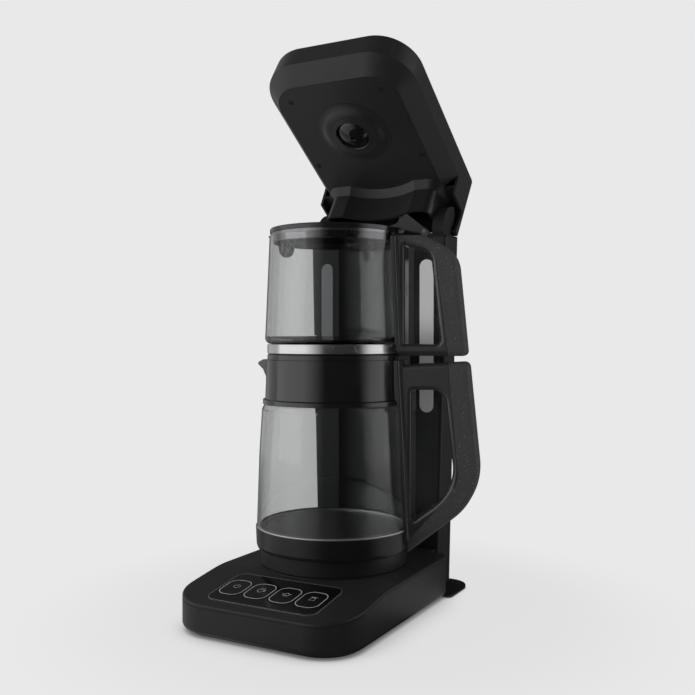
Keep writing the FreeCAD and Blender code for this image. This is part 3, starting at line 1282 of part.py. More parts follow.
def head_hood():
    """The hollow back wall of the head, scalloped to clear the teapot and flared at the top."""
    high = HEAD_PLATE_Z - SEAT_GAP / 3
    rear = HEAD_REAR - HEAD_WALL - SIDE_GAP
    flare_low = high - HOOD_FLARE
    wide = rounded_outline(HOOD_HALF + HOOD_FLARE, HOOD_FRONT - HOOD_FLARE, rear,
                           HOOD_CORNER + HOOD_FLARE, HOOD_CORNER_REAR, high)
    narrow = rounded_outline(HOOD_HALF, HOOD_FRONT, rear, HOOD_CORNER, HOOD_CORNER_REAR, flare_low)
    flare = Part.makeLoft([narrow, wide], True, True)
    flare = flare.cut(Part.makeCone(HOOD_SCALLOP_RADIUS, HOOD_SCALLOP_RADIUS - HOOD_FLARE, HOOD_FLARE,
                                    Vector(0, 0, flare_low)))
    body = hood_block(0, HOOD_BOTTOM, flare_low, rear).fuse(flare)
    for side in (-1, 1):
        x0, x1 = side_span(side, HOOD_HALF - HOOD_WALL, HOOD_HALF)
        body = body.fuse(cylinder(KNUCKLE_RADIUS, x1 - x0, hinge_point(x0), X_AXIS))
    inner = hood_block(HOOD_WALL, HOOD_BOTTOM - PAST, high + 1, rear + PAST)
    body = body.cut(inner)
    for side in (-1, 1):
        x0, x1 = side_span(side, HOOD_HALF - HOOD_WALL - 1, HOOD_HALF + 1)
        body = body.cut(cylinder(HINGE_PIN_RADIUS + PIN_PLAY, x1 - x0, hinge_point(x0), X_AXIS))
    return body.removeSplitter()


def nozzle_ring():
    """A shallow mound round the outlet, which rises from the plate in a smooth double curve."""
    top = HEAD_PLATE_Z - PRESS_GAP
    low = top - NOZZLE_MOUND_HEIGHT
    rise = NOZZLE_MOUND_HEIGHT - NOZZLE_MOUND_EDGE
    run = NOZZLE_MOUND_RADIUS - NOZZLE_MOUND_TOP_RADIUS
    radius = (run ** 2 + rise ** 2) / (4 * rise)
    turn = math.asin(run / 2 / radius)
    outer = []
    inner = []
    for angle in (0, turn / 2, turn):
        side = radius * math.sin(angle)
        drop = radius * (1 - math.cos(angle))
        outer.append((NOZZLE_MOUND_RADIUS - side, top - NOZZLE_MOUND_EDGE - drop))
        inner.insert(0, (NOZZLE_MOUND_TOP_RADIUS + side, low + drop))
    bore = NOZZLE_DOME_RADIUS + DOME_PLAY
    seat = top - DOME_SEAT
    rest = [inner[-1], (bore + DOME_EASE[0], low - DOME_EASE[1]), (bore, low), (bore, seat), (NOZZLE_BORE, seat),
            (NOZZLE_BORE, top), (NOZZLE_MOUND_RADIUS, top), outer[0]]
    edges = bend(at_side(outer)) + bend(at_side(inner)) + chain(at_side(rest))
    return Part.Face(Part.Wire(edges)).revolve(Vector(0, 0, 0), Z_AXIS, 360)


def nozzle_dome():
    """A round cap with a small outlet and a nipple for the hose above it."""
    level = HEAD_PLATE_Z - DOME_LEVEL
    drop = NOZZLE_DOME_DROP - DOME_LEVEL
    sphere_radius = (NOZZLE_DOME_RADIUS ** 2 + drop ** 2) / (2 * drop)
    ball = Part.makeSphere(sphere_radius, Vector(0, 0, level - drop + sphere_radius))
    disc = cylinder(NOZZLE_DOME_RADIUS, drop, Vector(0, 0, level - drop))
    cap = ball.common(disc)
    nipple = cylinder(NIPPLE_RADIUS, NOZZLE_NIPPLE, Vector(0, 0, level - BITE))
    cap = cap.fuse(nipple).removeSplitter()
    return cap.cut(cylinder(NOZZLE_HOLE_RADIUS, NOZZLE_NIPPLE + PAST, Vector(0, 0, level - drop - 2)))


def head_hose():
    """From the hinge's axis up through the hood and forward to the nozzle."""
    low = Vector(HOSE_X, HEAD_HOSE_Y, HINGE_Z + 7)
    corner = Vector(HOSE_X, HEAD_HOSE_Y, HEAD_HOSE_Z)
    front = Vector(0, 0, HEAD_HOSE_Z)
    down = Vector(0, 0, HEAD_PLATE_Z + 4)
    return swept_hose([low, corner, front, down], HOSE_BEND, HOSE_RADIUS, NIPPLE_RADIUS + PRESS_GAP)


def opened(shape):
    """Turns a piece of the head about the hinge from closed to fully open."""
    turned_piece = shape.copy()
    turned_piece.rotate(hinge_point(0), X_AXIS, -HEAD_OPEN_ANGLE)
    return turned_piece


# ---------------------------------------------------------------- kettle
def kettle_under():
    """The kettle's black underside with the well that drops over the power connector."""
    low = KETTLE_BOTTOM
    floor = low + UNDER_THICK
    body = turned([(WELL_RADIUS, low), (UNDER_RADIUS - UNDER_EDGE, low), (UNDER_RADIUS, low + UNDER_EDGE),
                   (UNDER_BAND_RADIUS, UNDER_BAND_TOP), (UNDER_WALL_RADIUS, UNDER_BAND_TOP),
                   (UNDER_WALL_RADIUS, UNDER_WALL_TOP), (UNDER_INNER_RADIUS, UNDER_WALL_TOP),
                   (UNDER_INNER_RADIUS, floor), (WELL_RADIUS + UNDER_THICK, floor),
                   (WELL_RADIUS + UNDER_THICK, WELL_TOP + UNDER_THICK),
                   (CONTACT_SEAT_RADIUS, WELL_TOP + UNDER_THICK), (CONTACT_SEAT_RADIUS, WELL_TOP),
                   (WELL_RADIUS, WELL_TOP)])
    return body.cut(cylinder(VALVE_RADIUS + SCREW_PLAY, PAST, Vector(PORT_X, PORT_Y, low - PAST / 2)))


def kettle_skirt():
    return turned(SKIRT + SKIRT_INNER)


def kettle_rim_plate():
    return turned([(RIM_PLATE_INNER, RIM_PLATE_LOW), (RIM_PLATE_RADIUS, RIM_PLATE_LOW),
                   (RIM_PLATE_RADIUS, RIM_PLATE_HIGH), (RIM_PLATE_INNER, RIM_PLATE_HIGH)])


def heater_plate():
    """The kettle's metal floor with the heating tube brazed under it."""
    plate = cylinder(HEATER_RADIUS, HEATER_HIGH - HEATER_LOW, Vector(0, 0, HEATER_LOW))
    tube = Part.makeTorus(ELEMENT_RADIUS, ELEMENT_TUBE, Vector(0, 0, HEATER_LOW - ELEMENT_TUBE + ELEMENT_BRAZE))
    gap = box(-ELEMENT_OPEN, ELEMENT_OPEN, 0, WIDE, 0, HEATER_LOW)
    plate = plate.fuse(tube.cut(gap)).removeSplitter()
    return plate.cut(cylinder(VALVE_BORE, PAST, Vector(PORT_X, PORT_Y, HEATER_LOW - PAST / 2)))


def kettle_valve():
    """The tube that lets water down from the kettle to the port in the base."""
    low = DECK_TOP + DOCK_RAISE + VALVE_LIFT
    high = HEATER_LOW - PRESS_GAP
    tube = ring(VALVE_RADIUS, VALVE_BORE, high - low, Vector(PORT_X, PORT_Y, low))
    flange = ring(VALVE_RADIUS + VALVE_FLANGE, VALVE_BORE, VALVE_FLANGE_THICK,
                  Vector(PORT_X, PORT_Y, high - VALVE_FLANGE_THICK))
    return tube.fuse(flange).removeSplitter()


def kettle_thermostat():
    high = HEATER_LOW - PRESS_GAP
    disc = cylinder(THERMOSTAT_RADIUS, THERMOSTAT_DEPTH, Vector(0, 0, high - THERMOSTAT_DEPTH))
    flange = cylinder(THERMOSTAT_RADIUS + THERMOSTAT_FLANGE, THERMOSTAT_FLANGE_THICK,
                      Vector(0, 0, high - THERMOSTAT_FLANGE_THICK))
    return disc.fuse(flange).removeSplitter()


def kettle_contact():
    """The plug in the roof of the well, with a short pin into the base's socket."""
    roof = WELL_TOP + UNDER_THICK
    flange = cylinder(CONTACT_SEAT_RADIUS + CONTACT_FLANGE, CONTACT_FLANGE_THICK,
                      Vector(0, 0, roof + PRESS_GAP))
    neck = cylinder(CONTACT_SEAT_RADIUS - PRESS_GAP, roof + 2 * PRESS_GAP - WELL_TOP, Vector(0, 0, WELL_TOP))
    pin_low = DECK_TOP + DOCK_RAISE + PLUG_HEIGHT - CONTACT_REACH
    pin = cylinder(CONTACT_RADIUS, WELL_TOP - pin_low + 1, Vector(0, 0, pin_low))
    return fused([flange, neck, pin])


def kettle_gasket():
    return turned([(GASKET_INNER, RIM_PLATE_HIGH), (GASKET_OUTER, RIM_PLATE_HIGH),
                   (GASKET_OUTER, GASKET_HIGH), (GASKET_INNER, GASKET_HIGH)])


def chain(points):
    return [segment(a, b) for a, b in zip(points, points[1:])]


def bend(points):
    return [arc_through(points[0], points[1], points[2])]


def kettle_glass():
    line = at_side(KETTLE_GLASS_WALL_LINE)
    shoulder = at_side(KETTLE_SHOULDER)
    top = Vector(shoulder[-1].x, 0, KETTLE_NECK_TOP)
    wall = Vector(-KETTLE_GLASS_WALL, 0, 0)
    edges = chain(line) + bend(shoulder) + chain([shoulder[-1], top, top + wall, shoulder[-1] + wall])
    edges += bend([p + wall for p in reversed(shoulder)]) + chain([p + wall for p in reversed(line)])
    edges.append(segment(line[0] + wall, line[0]))
    return Part.Face(Part.Wire(edges)).revolve(Vector(0, 0, 0), Z_AXIS, 360)


def spout_prism(root_half, tip_half, root_reach, tip_reach):
    """A block that narrows from the root to the tip, seen from above."""
    points = [Vector(-root_reach, -root_half, 0), Vector(-tip_reach, -tip_half, 0),
              Vector(-tip_reach, tip_half, 0), Vector(-root_reach, root_half, 0)]
    return Part.Face(loop_of(points)).extrude(Vector(0, 0, WIDE))


def profile_slab(points, half):
    """Extrudes an outline of (reach, height) points to both sides of the XZ plane."""
    face = Part.Face(loop_of([Vector(r, -half, z) for r, z in points]))
    return face.extrude(Vector(0, 2 * half, 0))


def kettle_collar():
    body = turned(COLLAR_OUTER + COLLAR_INNER)
    tip = -min(r for r, z in SPOUT)
    beak = profile_slab(SPOUT, SPOUT_ROOT_HALF)
    beak = beak.common(spout_prism(SPOUT_ROOT_HALF, SPOUT_TIP_HALF, SPOUT_ROOT, tip))
    low = COLLAR_OUTER[0][1] - PAST
    inner_room = cylinder(COLLAR_INNER[0][0], WIDE, Vector(0, 0, low))
    inner_neck = cylinder(COLLAR_INNER[2][0], COLLAR_INNER[2][1] - low, Vector(0, 0, low))
    beak = beak.cut(inner_room).cut(inner_neck)
    body = body.fuse(beak)
    top = COLLAR_OUTER[-1][1]
    trough = Part.makeCone(SPOUT_CHANNEL, SPOUT_CHANNEL - SPOUT_CHANNEL_NARROWING, PAST,
                           Vector(-tip - 2, 0, top + SPOUT_CHANNEL_LIFT), X_AXIS)
    body = body.cut(trough)
    return to_handle_side(body.removeSplitter())


def kettle_lid():
    top = LID_TOP
    low = LID_LOW - LID_SPIGOT_DEPTH
    return turned([(0, top), (LID_RADIUS - LID_EDGE, top), (LID_RADIUS, top - LID_EDGE), (LID_RADIUS, LID_LOW),
                   (LID_SPIGOT_TOP, LID_LOW), (LID_SPIGOT_LOW, low), (LID_SPIGOT_LOW - LID_SPIGOT_WALL, low),
                   (LID_SPIGOT_TOP - LID_WALL, LID_LOW), (LID_SPIGOT_TOP - LID_WALL, top - LID_WALL),
                   (0, top - LID_WALL)])


def at_side(points):
    return [Vector(r, 0, z) for r, z in points]


def wide_slab(edges, half):
    face = Part.Face(Part.Wire(edges))
    face.translate(Vector(0, -half, 0))
    return face.extrude(Vector(0, 2 * half, 0))


def loop_handle(outer_edges, hole_edges, half):
    """A closed handle from its outline and its finger opening, with rounded edges."""
    body = wide_slab(outer_edges, half)
    rim = edges_where(body, lambda e: flat_at(e, half) and e.BoundBox.XMax > HANDLE_ROOT)
    body = body.makeFillet(GRIP_EDGE_ROUND, rim)
    hole = wide_slab(hole_edges, half + 5)
    body = body.cut(hole)
    rim = [e for e in edges_where(body, lambda e: flat_at(e, half)) if on_hole(e, hole)]
    return body.makeFillet(HANDLE_EDGE_ROUND, rim)


def flat_at(edge, half):
    bounds = edge.BoundBox
    return bounds.YLength < LEVEL and abs(abs(bounds.YMin) - half) < LEVEL


def on_hole(edge, hole):
    middle = edge.valueAt((edge.FirstParameter + edge.LastParameter) / 2)
    return hole.distToShape(Part.Vertex(middle))[0] < LEVEL


def rounded_path(corners, closed):
    """Straight lines through (reach, height, radius) corners, with tangent arcs at them."""
    count = len(corners)
    trims = []
    for number, (reach, height, radius) in enumerate(corners):
        here = Vector(reach, 0, height)
        if radius == 0:
            trims.append((here, None, here))
            continue
        before = corners[number - 1]
        after = corners[(number + 1) % count]
        back = (Vector(before[0], 0, before[1]) - here).normalize()
        on = (Vector(after[0], 0, after[1]) - here).normalize()
        half_angle = back.getAngle(on) / 2
        trim = radius / math.tan(half_angle)
        bisector = (back + on).normalize()
        middle = here + bisector * (radius / math.sin(half_angle) - radius)
        trims.append((here + back * trim, middle, here + on * trim))
    edges = []
    for number, (start, middle, end) in enumerate(trims):
        if middle is not None:
            edges.append(arc_through(start, middle, end))
        if closed or number + 1 < count:
            edges.append(segment(end, trims[(number + 1) % count][0]))
    return edges


def kettle_handle_whole():
    return loop_handle(rounded_path(KETTLE_HANDLE, True), rounded_path(KETTLE_OPENING, True), HANDLE_HALF)


def teapot_handle_whole():
    return loop_handle(rounded_path(TEAPOT_HANDLE, True), rounded_path(TEAPOT_OPENING, True), HANDLE_HALF)


def beyond_seam(seam, shift):
    """Everything on the outer side of a handle's seam."""
    corners = [(reach + shift, height, radius) for reach, height, radius in seam]
    edges = rounded_path(corners, False)
    start = Vector(corners[0][0], 0, corners[0][1])
    end = Vector(corners[-1][0], 0, corners[-1][1])
    edges += chain([end, Vector(WIDE, 0, end.z), Vector(WIDE, 0, start.z), start])
    return wide_slab(edges, WIDE / 2)


def room_round(points, low, high):
    """The space inside an outline of revolution, grown by the seat gap, to cut handles with."""
    grown = [(r + SEAT_GAP, z) for r, z in points]
    return turned([(0, low), (grown[0][0], low)] + grown + [(grown[-1][0], high), (0, high)])


def kettle_room():
    skirt = room_round(SKIRT[2:], DECK_TOP, SKIRT[-1][1] + PRESS_GAP)
    seal = room_round([(RIM_PLATE_RADIUS, RIM_PLATE_LOW), (RIM_PLATE_RADIUS, GASKET_HIGH)], *SEAL_ROOM)
    glass = room_round(KETTLE_GLASS_WALL_LINE, GLASS_ROOM_LOW, COLLAR_OUTER[0][1])
    collar = room_round([COLLAR_OUTER[1]] + COLLAR_OUTER[2:], COLLAR_OUTER[0][1] - SEAT_GAP, LID_LOW)
    return fused([skirt, seal, glass, collar])


def teapot_room():
    band = room_round([(BAND_RADIUS, LID_LOW), (BAND_RADIUS, BAND_TOP)], BAND_ROOM_LOW,
                      BAND_TOP + BAND_ROOM_LAP)
    glass = room_round(TEAPOT_GLASS_LINE, BAND_TOP + BAND_ROOM_LAP - PRESS_GAP, POT_LID_HIGH + SEAT_GAP)
    return fused([band, glass])


def saddle(low_point, high_point):
    """A flange that hugs a jug between two (radius, height) points of its wall."""
    low, high = low_point[1], high_point[1]
    grow = SEAT_GAP + SADDLE_THICK
    cone = Part.makeCone(low_point[0] + grow, high_point[0] + grow, high - low, Vector(0, 0, low))
    block = cone.common(box(0, WIDE / 2, -SADDLE_HALF, SADDLE_HALF, low, high))
    sides = edges_where(block, lambda e: e.BoundBox.ZLength > (high - low) / 2
                        and e.BoundBox.XMin > HANDLE_ROOT)
    return block.makeFillet(SADDLE_ROUND, sides)


def kettle_handle_frame():
    hug = saddle(SKIRT[2], (COLLAR_OUTER[-1][0], LID_LOW - SIDE_GAP))
    body = kettle_handle_whole().fuse(hug).cut(kettle_room()).cut(beyond_seam(KETTLE_SEAM, -SEAM_GAP / 2))
    for reach in PAD_PLACES:
        body = body.cut(cylinder(PAD_RADIUS, PAST, Vector(reach, 0, PAD_SOCKET)))
    return to_handle_side(biggest(body))


def kettle_handle_grip():
    body = kettle_handle_whole().cut(kettle_room()).common(beyond_seam(KETTLE_SEAM, SEAM_GAP / 2))
    return to_handle_side(biggest(body))


def teapot_handle_frame():
    hug = saddle((TEAPOT_GLASS_LINE[0][0], BAND_TOP + SEAT_GAP), TEAPOT_GLASS_LINE[-1])
    body = teapot_handle_whole().fuse(hug).cut(teapot_room()).cut(beyond_seam(TEAPOT_SEAM, -SEAM_GAP / 2))
    return to_handle_side(biggest(body))


def teapot_handle_grip():
    body = teapot_handle_whole().cut(teapot_room()).common(beyond_seam(TEAPOT_SEAM, SEAM_GAP / 2))
    body = biggest(body)
    reach, height = TAB_PIVOT
    for side in (-1, 1):
        near = TAB_HALF + EAR_GAP
        y0 = near if side > 0 else -near - EAR_THICK
        ear = cylinder(TAB_BARREL, EAR_THICK, Vector(reach, y0, height), Y_AXIS)
        web = box(reach - TAB_BARREL, reach + TAB_BARREL, y0, y0 + EAR_THICK, height - EAR_DROP, height)
        body = body.fuse(ear.fuse(web))
    bore = cylinder(TAB_PIN_RADIUS + PIN_PLAY, 2 * HANDLE_HALF, Vector(reach, -HANDLE_HALF, height), Y_AXIS)
    return to_handle_side(body.removeSplitter().cut(bore))


def biggest(shape):
    return max(shape.Solids, key=lambda solid: solid.Volume)


PAD_TOP = TEAPOT_HANDLE[-1][1] - SIDE_GAP
PAD_SOCKET = PAD_TOP - PAD_LENGTH


def kettle_pads():
    parts = []
    for reach in PAD_PLACES:
        parts.append(to_handle_side(cylinder(PAD_RADIUS, PAD_TOP - PAD_SOCKET, Vector(reach, 0, PAD_SOCKET))))
    return parts


# ---------------------------------------------------------------- teapot
def teapot_band():
    low = TEAPOT_LOW
    wall = BAND_WALL
    return turned([(BAND_FOOT_INNER, low), (BAND_RADIUS - BAND_EDGE, low), (BAND_RADIUS, low + BAND_EDGE),
                   (BAND_RADIUS, BAND_TOP), (BAND_LEDGE_INNER, BAND_TOP),
                   (BAND_LEDGE_INNER, BAND_TOP - wall), (BAND_RADIUS - wall, BAND_TOP - wall),
                   (BAND_RADIUS - wall, low + wall), (BAND_FOOT_INNER, low + wall)])


def teapot_glass():
    low = Vector(0, 0, TEAPOT_FLOOR_LOW)
    high = Vector(0, 0, TEAPOT_FLOOR_HIGH)
    heel = at_side(TEAPOT_GLASS_HEEL)
    line = at_side(TEAPOT_GLASS_LINE)
    inside = at_side(TEAPOT_INSIDE_LINE)
    inside_heel = at_side(TEAPOT_INSIDE_HEEL)
    edges = [segment(low, heel[0])] + bend(heel) + chain(line) + [segment(line[-1], inside[0])]
    edges += chain(inside) + bend(inside_heel) + chain([inside_heel[-1], high, low])
    return Part.Face(Part.Wire(edges)).revolve(Vector(0, 0, 0), Z_AXIS, 360)


def teapot_rim():
    """The steel ring in the teapot's mouth, with a small lip over the glass to pour from."""
    body = turned([(RIM_INNER, RIM_LOW), (RIM_OUTER, RIM_LOW), (RIM_OUTER, RIM_SEAT), (RIM_FLANGE, RIM_SEAT),
                   (RIM_FLANGE, RIM_TOP), (RIM_INNER, RIM_TOP)])
    profile = [(-RIM_INNER, RIM_TOP), (BEAK_ROUND - BEAK_TIP, RIM_TOP), (-BEAK_TIP, RIM_TOP - BEAK_ROUND),
               (-BEAK_TIP, RIM_TOP - 2 * BEAK_ROUND), (-RIM_FLANGE, RIM_SEAT), (-RIM_INNER, RIM_SEAT)]
    beak = profile_slab(profile, BEAK_ROOT_HALF)
    beak = beak.common(spout_prism(BEAK_ROOT_HALF, BEAK_TIP_HALF, RIM_INNER, BEAK_TIP))
    beak = beak.cut(cylinder(RIM_INNER, WIDE, Vector(0, 0, 0)))
    trough = Part.makeCone(BEAK_CHANNEL, BEAK_CHANNEL - BEAK_CHANNEL_NARROWING, PAST,
                           Vector(-BEAK_TIP - 2, 0, RIM_TOP + BEAK_CHANNEL_LIFT), X_AXIS)
    return to_handle_side(body.fuse(beak).cut(trough).removeSplitter())


def thimble(inset, top):
    """A tapering cup with a round bottom, filled."""
    cone = Part.makeCone(STRAINER_LOW_RADIUS - inset, STRAINER_RADIUS - inset, top - STRAINER_BEND,
                         Vector(0, 0, STRAINER_BEND))
    ball = Part.makeSphere(STRAINER_LOW_RADIUS - inset, Vector(0, 0, STRAINER_BEND))
    return cone.fuse(ball)


def teapot_strainer():
    """A small perforated basket that hangs in the mouth behind the spout."""
    basket = thimble(0, STRAINER_TOP).cut(thimble(STRAINER_WALL, STRAINER_TOP))
    reach = 2 * STRAINER_RADIUS
    for row in range(STRAINER_ROWS):
        z = STRAINER_ROW_LOW + row * STRAINER_ROW_PITCH
        for column in range(STRAINER_COLUMNS):
            angle = math.pi * (column + 1 / 4 + row % 2 / 2) / STRAINER_COLUMNS
            across = Vector(math.cos(angle), math.sin(angle), 0)
            start = Vector(0, 0, z) - across * reach
            basket = basket.cut(cylinder(STRAINER_HOLE, 2 * reach, start, across))
    basket.translate(Vector(-STRAINER_REACH, 0, 0))
    return to_handle_side(basket.removeSplitter())


def teapot_lid():
    low = POT_LID_LOW - POT_LID_SPIGOT_DEPTH
    bore = POT_LID_SPIGOT - POT_LID_WALL
    body = turned([(0, POT_LID_HIGH), (POT_LID_RADIUS - POT_LID_EDGE, POT_LID_HIGH),
                   (POT_LID_RADIUS, POT_LID_HIGH - POT_LID_EDGE), (POT_LID_RADIUS, POT_LID_LOW),
                   (POT_LID_SPIGOT, POT_LID_LOW), (POT_LID_SPIGOT, low), (bore, low),
                   (bore, POT_LID_LOW), (0, POT_LID_LOW)])
    holes = []
    for number in range(LID_HOLES):
        angle = math.tau * number / LID_HOLES
        place = Vector(LID_HOLE_REACH * math.cos(angle), LID_HOLE_REACH * math.sin(angle), low)
        holes.append(cylinder(LID_HOLE_RADIUS, PAST, place))
    holes.append(cylinder(LID_HOLE_RADIUS, PAST, Vector(0, 0, low)))
    return to_handle_side(body.cut(fused(holes)))


def thumb_tab():
    reach, height = TAB_PIVOT
    body = profile_slab(TAB_SIDE, TAB_HALF)
    barrel = cylinder(TAB_BARREL, 2 * TAB_HALF, Vector(reach, -TAB_HALF, height), Y_AXIS)
    body = body.fuse(barrel).removeSplitter()
    bore = cylinder(TAB_PIN_RADIUS + PIN_PLAY, 2 * HANDLE_HALF, Vector(reach, -HANDLE_HALF, height), Y_AXIS)
    return to_handle_side(body.cut(bore))


def lid_pin():
    reach, height = TAB_PIVOT
    half = TAB_HALF + EAR_GAP + EAR_THICK
    return to_handle_side(cylinder(TAB_PIN_RADIUS, 2 * half, Vector(reach, -half, height), Y_AXIS))


# ---------------------------------------------------------------- the whole
def assembly():
    """Every piece by its node name, standing in the shared frame."""
    nodes = {
        "bottom_plate": bottom_plate(),
        "base_feet": feet(),
        "base_screws": base_screws(),
        "base_shell": base_shell(),
        "deck_cover": deck_cover(),
        "dock_plate": dock_plate(),
        "control_panel": control_panel(),
        "panel_trim": panel_trim(),
        "control_board": control_board(),
        "power_connector": power_connector(),
        "water_port": water_port(),
        "pump_motor": pump_motor(),
        "pump_head": pump_head(),
        "inlet_hose": inlet_hose(),
        "riser_hose": riser_hose(),
        "power_board": power_board(),
        "column_front": column_front(),
        "column_back": column_back(),
        "column_screws": back_screws(),
        "cord_gland": cord_gland(),
        "light_strip_left": light_strip(-1),
        "light_strip_right": light_strip(1),
        "hinge_housing": hinge_housing(),
        "hinge_pins": hinge_pins(),
        "hinge_washers": hinge_washers(),
        "head_cover": opened(head_cover()),
        "head_plate": opened(head_plate()),
        "head_hood": opened(head_hood()),
        "head_screws": [opened(piece) for piece in head_screws()],
        "nozzle_ring": opened(nozzle_ring()),
        "nozzle_dome": opened(nozzle_dome()),
        "head_hose": opened(head_hose()),
        "kettle_under": kettle_under(),
        "kettle_skirt": kettle_skirt(),
        "kettle_rim_plate": kettle_rim_plate(),
        "heater_plate": heater_plate(),
        "kettle_valve": kettle_valve(),
        "kettle_thermostat": kettle_thermostat(),
        "kettle_contact": kettle_contact(),
        "kettle_gasket": kettle_gasket(),
        "kettle_glass": kettle_glass(),
        "kettle_collar": kettle_collar(),
        "kettle_handle_frame": kettle_handle_frame(),
        "kettle_handle_grip": kettle_handle_grip(),
        "kettle_pads": kettle_pads(),
        "kettle_lid": kettle_lid(),
        "teapot_band": teapot_band(),
        "teapot_glass": teapot_glass(),
        "teapot_rim": teapot_rim(),
        "teapot_strainer": teapot_strainer(),
        "teapot_handle_frame": teapot_handle_frame(),
        "teapot_handle_grip": teapot_handle_grip(),
        "lid_pin": lid_pin(),
        "teapot_lid": teapot_lid(),
        "thumb_tab": thumb_tab(),
    }
    for number in range(KEY_COUNT):
        nodes["key_%d" % (number + 1)] = key(number)
    shapes = {}
    for name, shape in nodes.items():
        shapes[name] = Part.makeCompound(shape) if isinstance(shape, list) else shape
    return shapes


def frame_shift(shapes):
    """Moves the middle of the whole object's underside to the origin."""
    whole = Part.makeCompound(list(shapes.values())).optimalBoundingBox(False, False)
    return Vector(-whole.Center.x, -whole.Center.y, -whole.ZMin)


def export(shapes):
    os.makedirs("parts", exist_ok=True)
    shift = frame_shift(shapes)
    for name, shape in shapes.items():
        placed = shape.copy()
        placed.translate(shift)
        placed.exportStep("parts/" + name + ".step")


if __name__ == "__main__":
    export(assembly())
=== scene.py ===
import math

import bpy
from mathutils import Matrix, Vector


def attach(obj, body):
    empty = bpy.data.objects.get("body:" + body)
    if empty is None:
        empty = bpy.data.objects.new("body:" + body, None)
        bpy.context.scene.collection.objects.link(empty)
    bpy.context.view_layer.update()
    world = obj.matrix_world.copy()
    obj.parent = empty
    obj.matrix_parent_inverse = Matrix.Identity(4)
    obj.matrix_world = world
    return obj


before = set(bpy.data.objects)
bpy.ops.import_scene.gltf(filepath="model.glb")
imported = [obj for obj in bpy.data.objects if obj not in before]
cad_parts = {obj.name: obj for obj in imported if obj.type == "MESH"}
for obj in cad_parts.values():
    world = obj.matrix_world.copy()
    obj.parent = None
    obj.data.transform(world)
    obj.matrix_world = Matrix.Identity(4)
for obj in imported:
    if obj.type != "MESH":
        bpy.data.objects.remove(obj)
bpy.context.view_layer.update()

# ---------------------------------------------------------------- places and sizes, in millimetres
MM = 0.001
FRAME_SHIFT = Vector((-21.943, -9.417, 4.0))     # from the kettle's axis to the frame's origin

SLOPE = math.radians(8.7)                        # of the key panel
PANEL_REAR_EDGE = Vector((0.0, -76.4, 36.103))
KEY_NAMES = ("key_1", "key_2", "key_3", "key_4")
KEY_ROW = -29.0                                  # down the slope from the panel's rear edge
KEY_ROW_X = -1.0
KEY_PITCH = 26.0
KEY_TOP = 0.9
OUTLINE_HALF_X = 11.1
OUTLINE_HALF_Y = 14.3
OUTLINE_CORNER = 8.3
OUTLINE_WIDTH = 0.8
SYMBOL_WIDTH = 0.5
STROKE_FLATNESS = 0.25                           # height of a line's section over its width

HINGE = Vector((0.0, 117.8, 361.0))
HEAD_TURN = math.radians(34.3)                   # from closed to open

HEAD_SCREWS = ((-49.3, -47.4), (49.3, -47.4), (-59.5, 39.2), (59.5, 39.2))
HEAD_SCREW_FACE = 395.5
COLUMN_SCREWS = [(side * 40.0, z) for side in (-1, 1) for z in (62.0, 190.0, 316.0)]
COLUMN_SCREW_FACE = 126.0
BASE_SCREWS = [(side * 66.7, y) for side in (-1, 1) for y in (-52.0, 46.0)]
BASE_SCREW_FACE = -3.0
RECESS_LENGTH = 2.6
RECESS_WIDTH = 0.62
RECESS_HEIGHT = 0.12
RECESS_EDGE = 0.05


# ---------------------------------------------------------------- node helpers
def effect(name, inputs, outputs):
    """An empty node group with its sockets, and its two end nodes."""
    group = bpy.data.node_groups.new(name, "ShaderNodeTree")
    for label, value in inputs:
        socket = group.interface.new_socket(name=label, in_out="INPUT", socket_type="NodeSocketFloat")
        socket.default_value = value
    for label in outputs:
        group.interface.new_socket(name=label, in_out="OUTPUT", socket_type="NodeSocketFloat")
    enter = group.nodes.new("NodeGroupInput")
    leave = group.nodes.new("NodeGroupOutput")
    return group, enter, leave


def feed(tree, socket, value):
    """Links a socket to another one, or sets it to a number or a colour."""
    if isinstance(value, (int, float)):
        socket.default_value = value
    elif isinstance(value, tuple):
        socket.default_value = (*value, 1.0)
    else:
        tree.links.new(value, socket)


def math_node(tree, kind, *values, clamp=False):
    node = tree.nodes.new("ShaderNodeMath")
    node.operation = kind
    node.use_clamp = clamp
    for place, value in enumerate(values):
        feed(tree, node.inputs[place], value)
    return node.outputs[0]


def scaled(tree, value, factor, start=0.0, clamp=False):
    return math_node(tree, "MULTIPLY_ADD", value, factor, start, clamp=clamp)


def soft_step(tree, value, low, high, out_low=0.0, out_high=1.0):
    node = tree.nodes.new("ShaderNodeMapRange")
    node.interpolation_type = "SMOOTHSTEP"
    tree.links.new(value, node.inputs["Value"])
    for label, number in (("From Min", low), ("From Max", high), ("To Min", out_low), ("To Max", out_high)):
        node.inputs[label].default_value = number
    return node.outputs["Result"]


def noise(tree, place, scale, detail=2.0, roughness=0.5):
    node = tree.nodes.new("ShaderNodeTexNoise")
    tree.links.new(place, node.inputs["Vector"])
    for label, value in (("Scale", scale), ("Detail", detail), ("Roughness", roughness)):
        feed(tree, node.inputs[label], value)
    return node.outputs["Fac"]


def cells_at(tree, place, scale, feature="F1"):
    node = tree.nodes.new("ShaderNodeTexVoronoi")
    node.feature = feature
    tree.links.new(place, node.inputs["Vector"])
    tree.links.new(scale, node.inputs["Scale"])
    return node


def vector_node(tree, kind, first, second=None):
    node = tree.nodes.new("ShaderNodeVectorMath")
    node.operation = kind
    tree.links.new(first, node.inputs[0])
    if isinstance(second, Vector):
        node.inputs[1].default_value = second
    elif second is not None:
        tree.links.new(second, node.inputs[1])
    return node


def split_vector(tree, vector):
    node = tree.nodes.new("ShaderNodeSeparateXYZ")
    tree.links.new(vector, node.inputs[0])
    return node.outputs


def object_place(tree):
    return tree.nodes.new("ShaderNodeTexCoord").outputs["Object"]


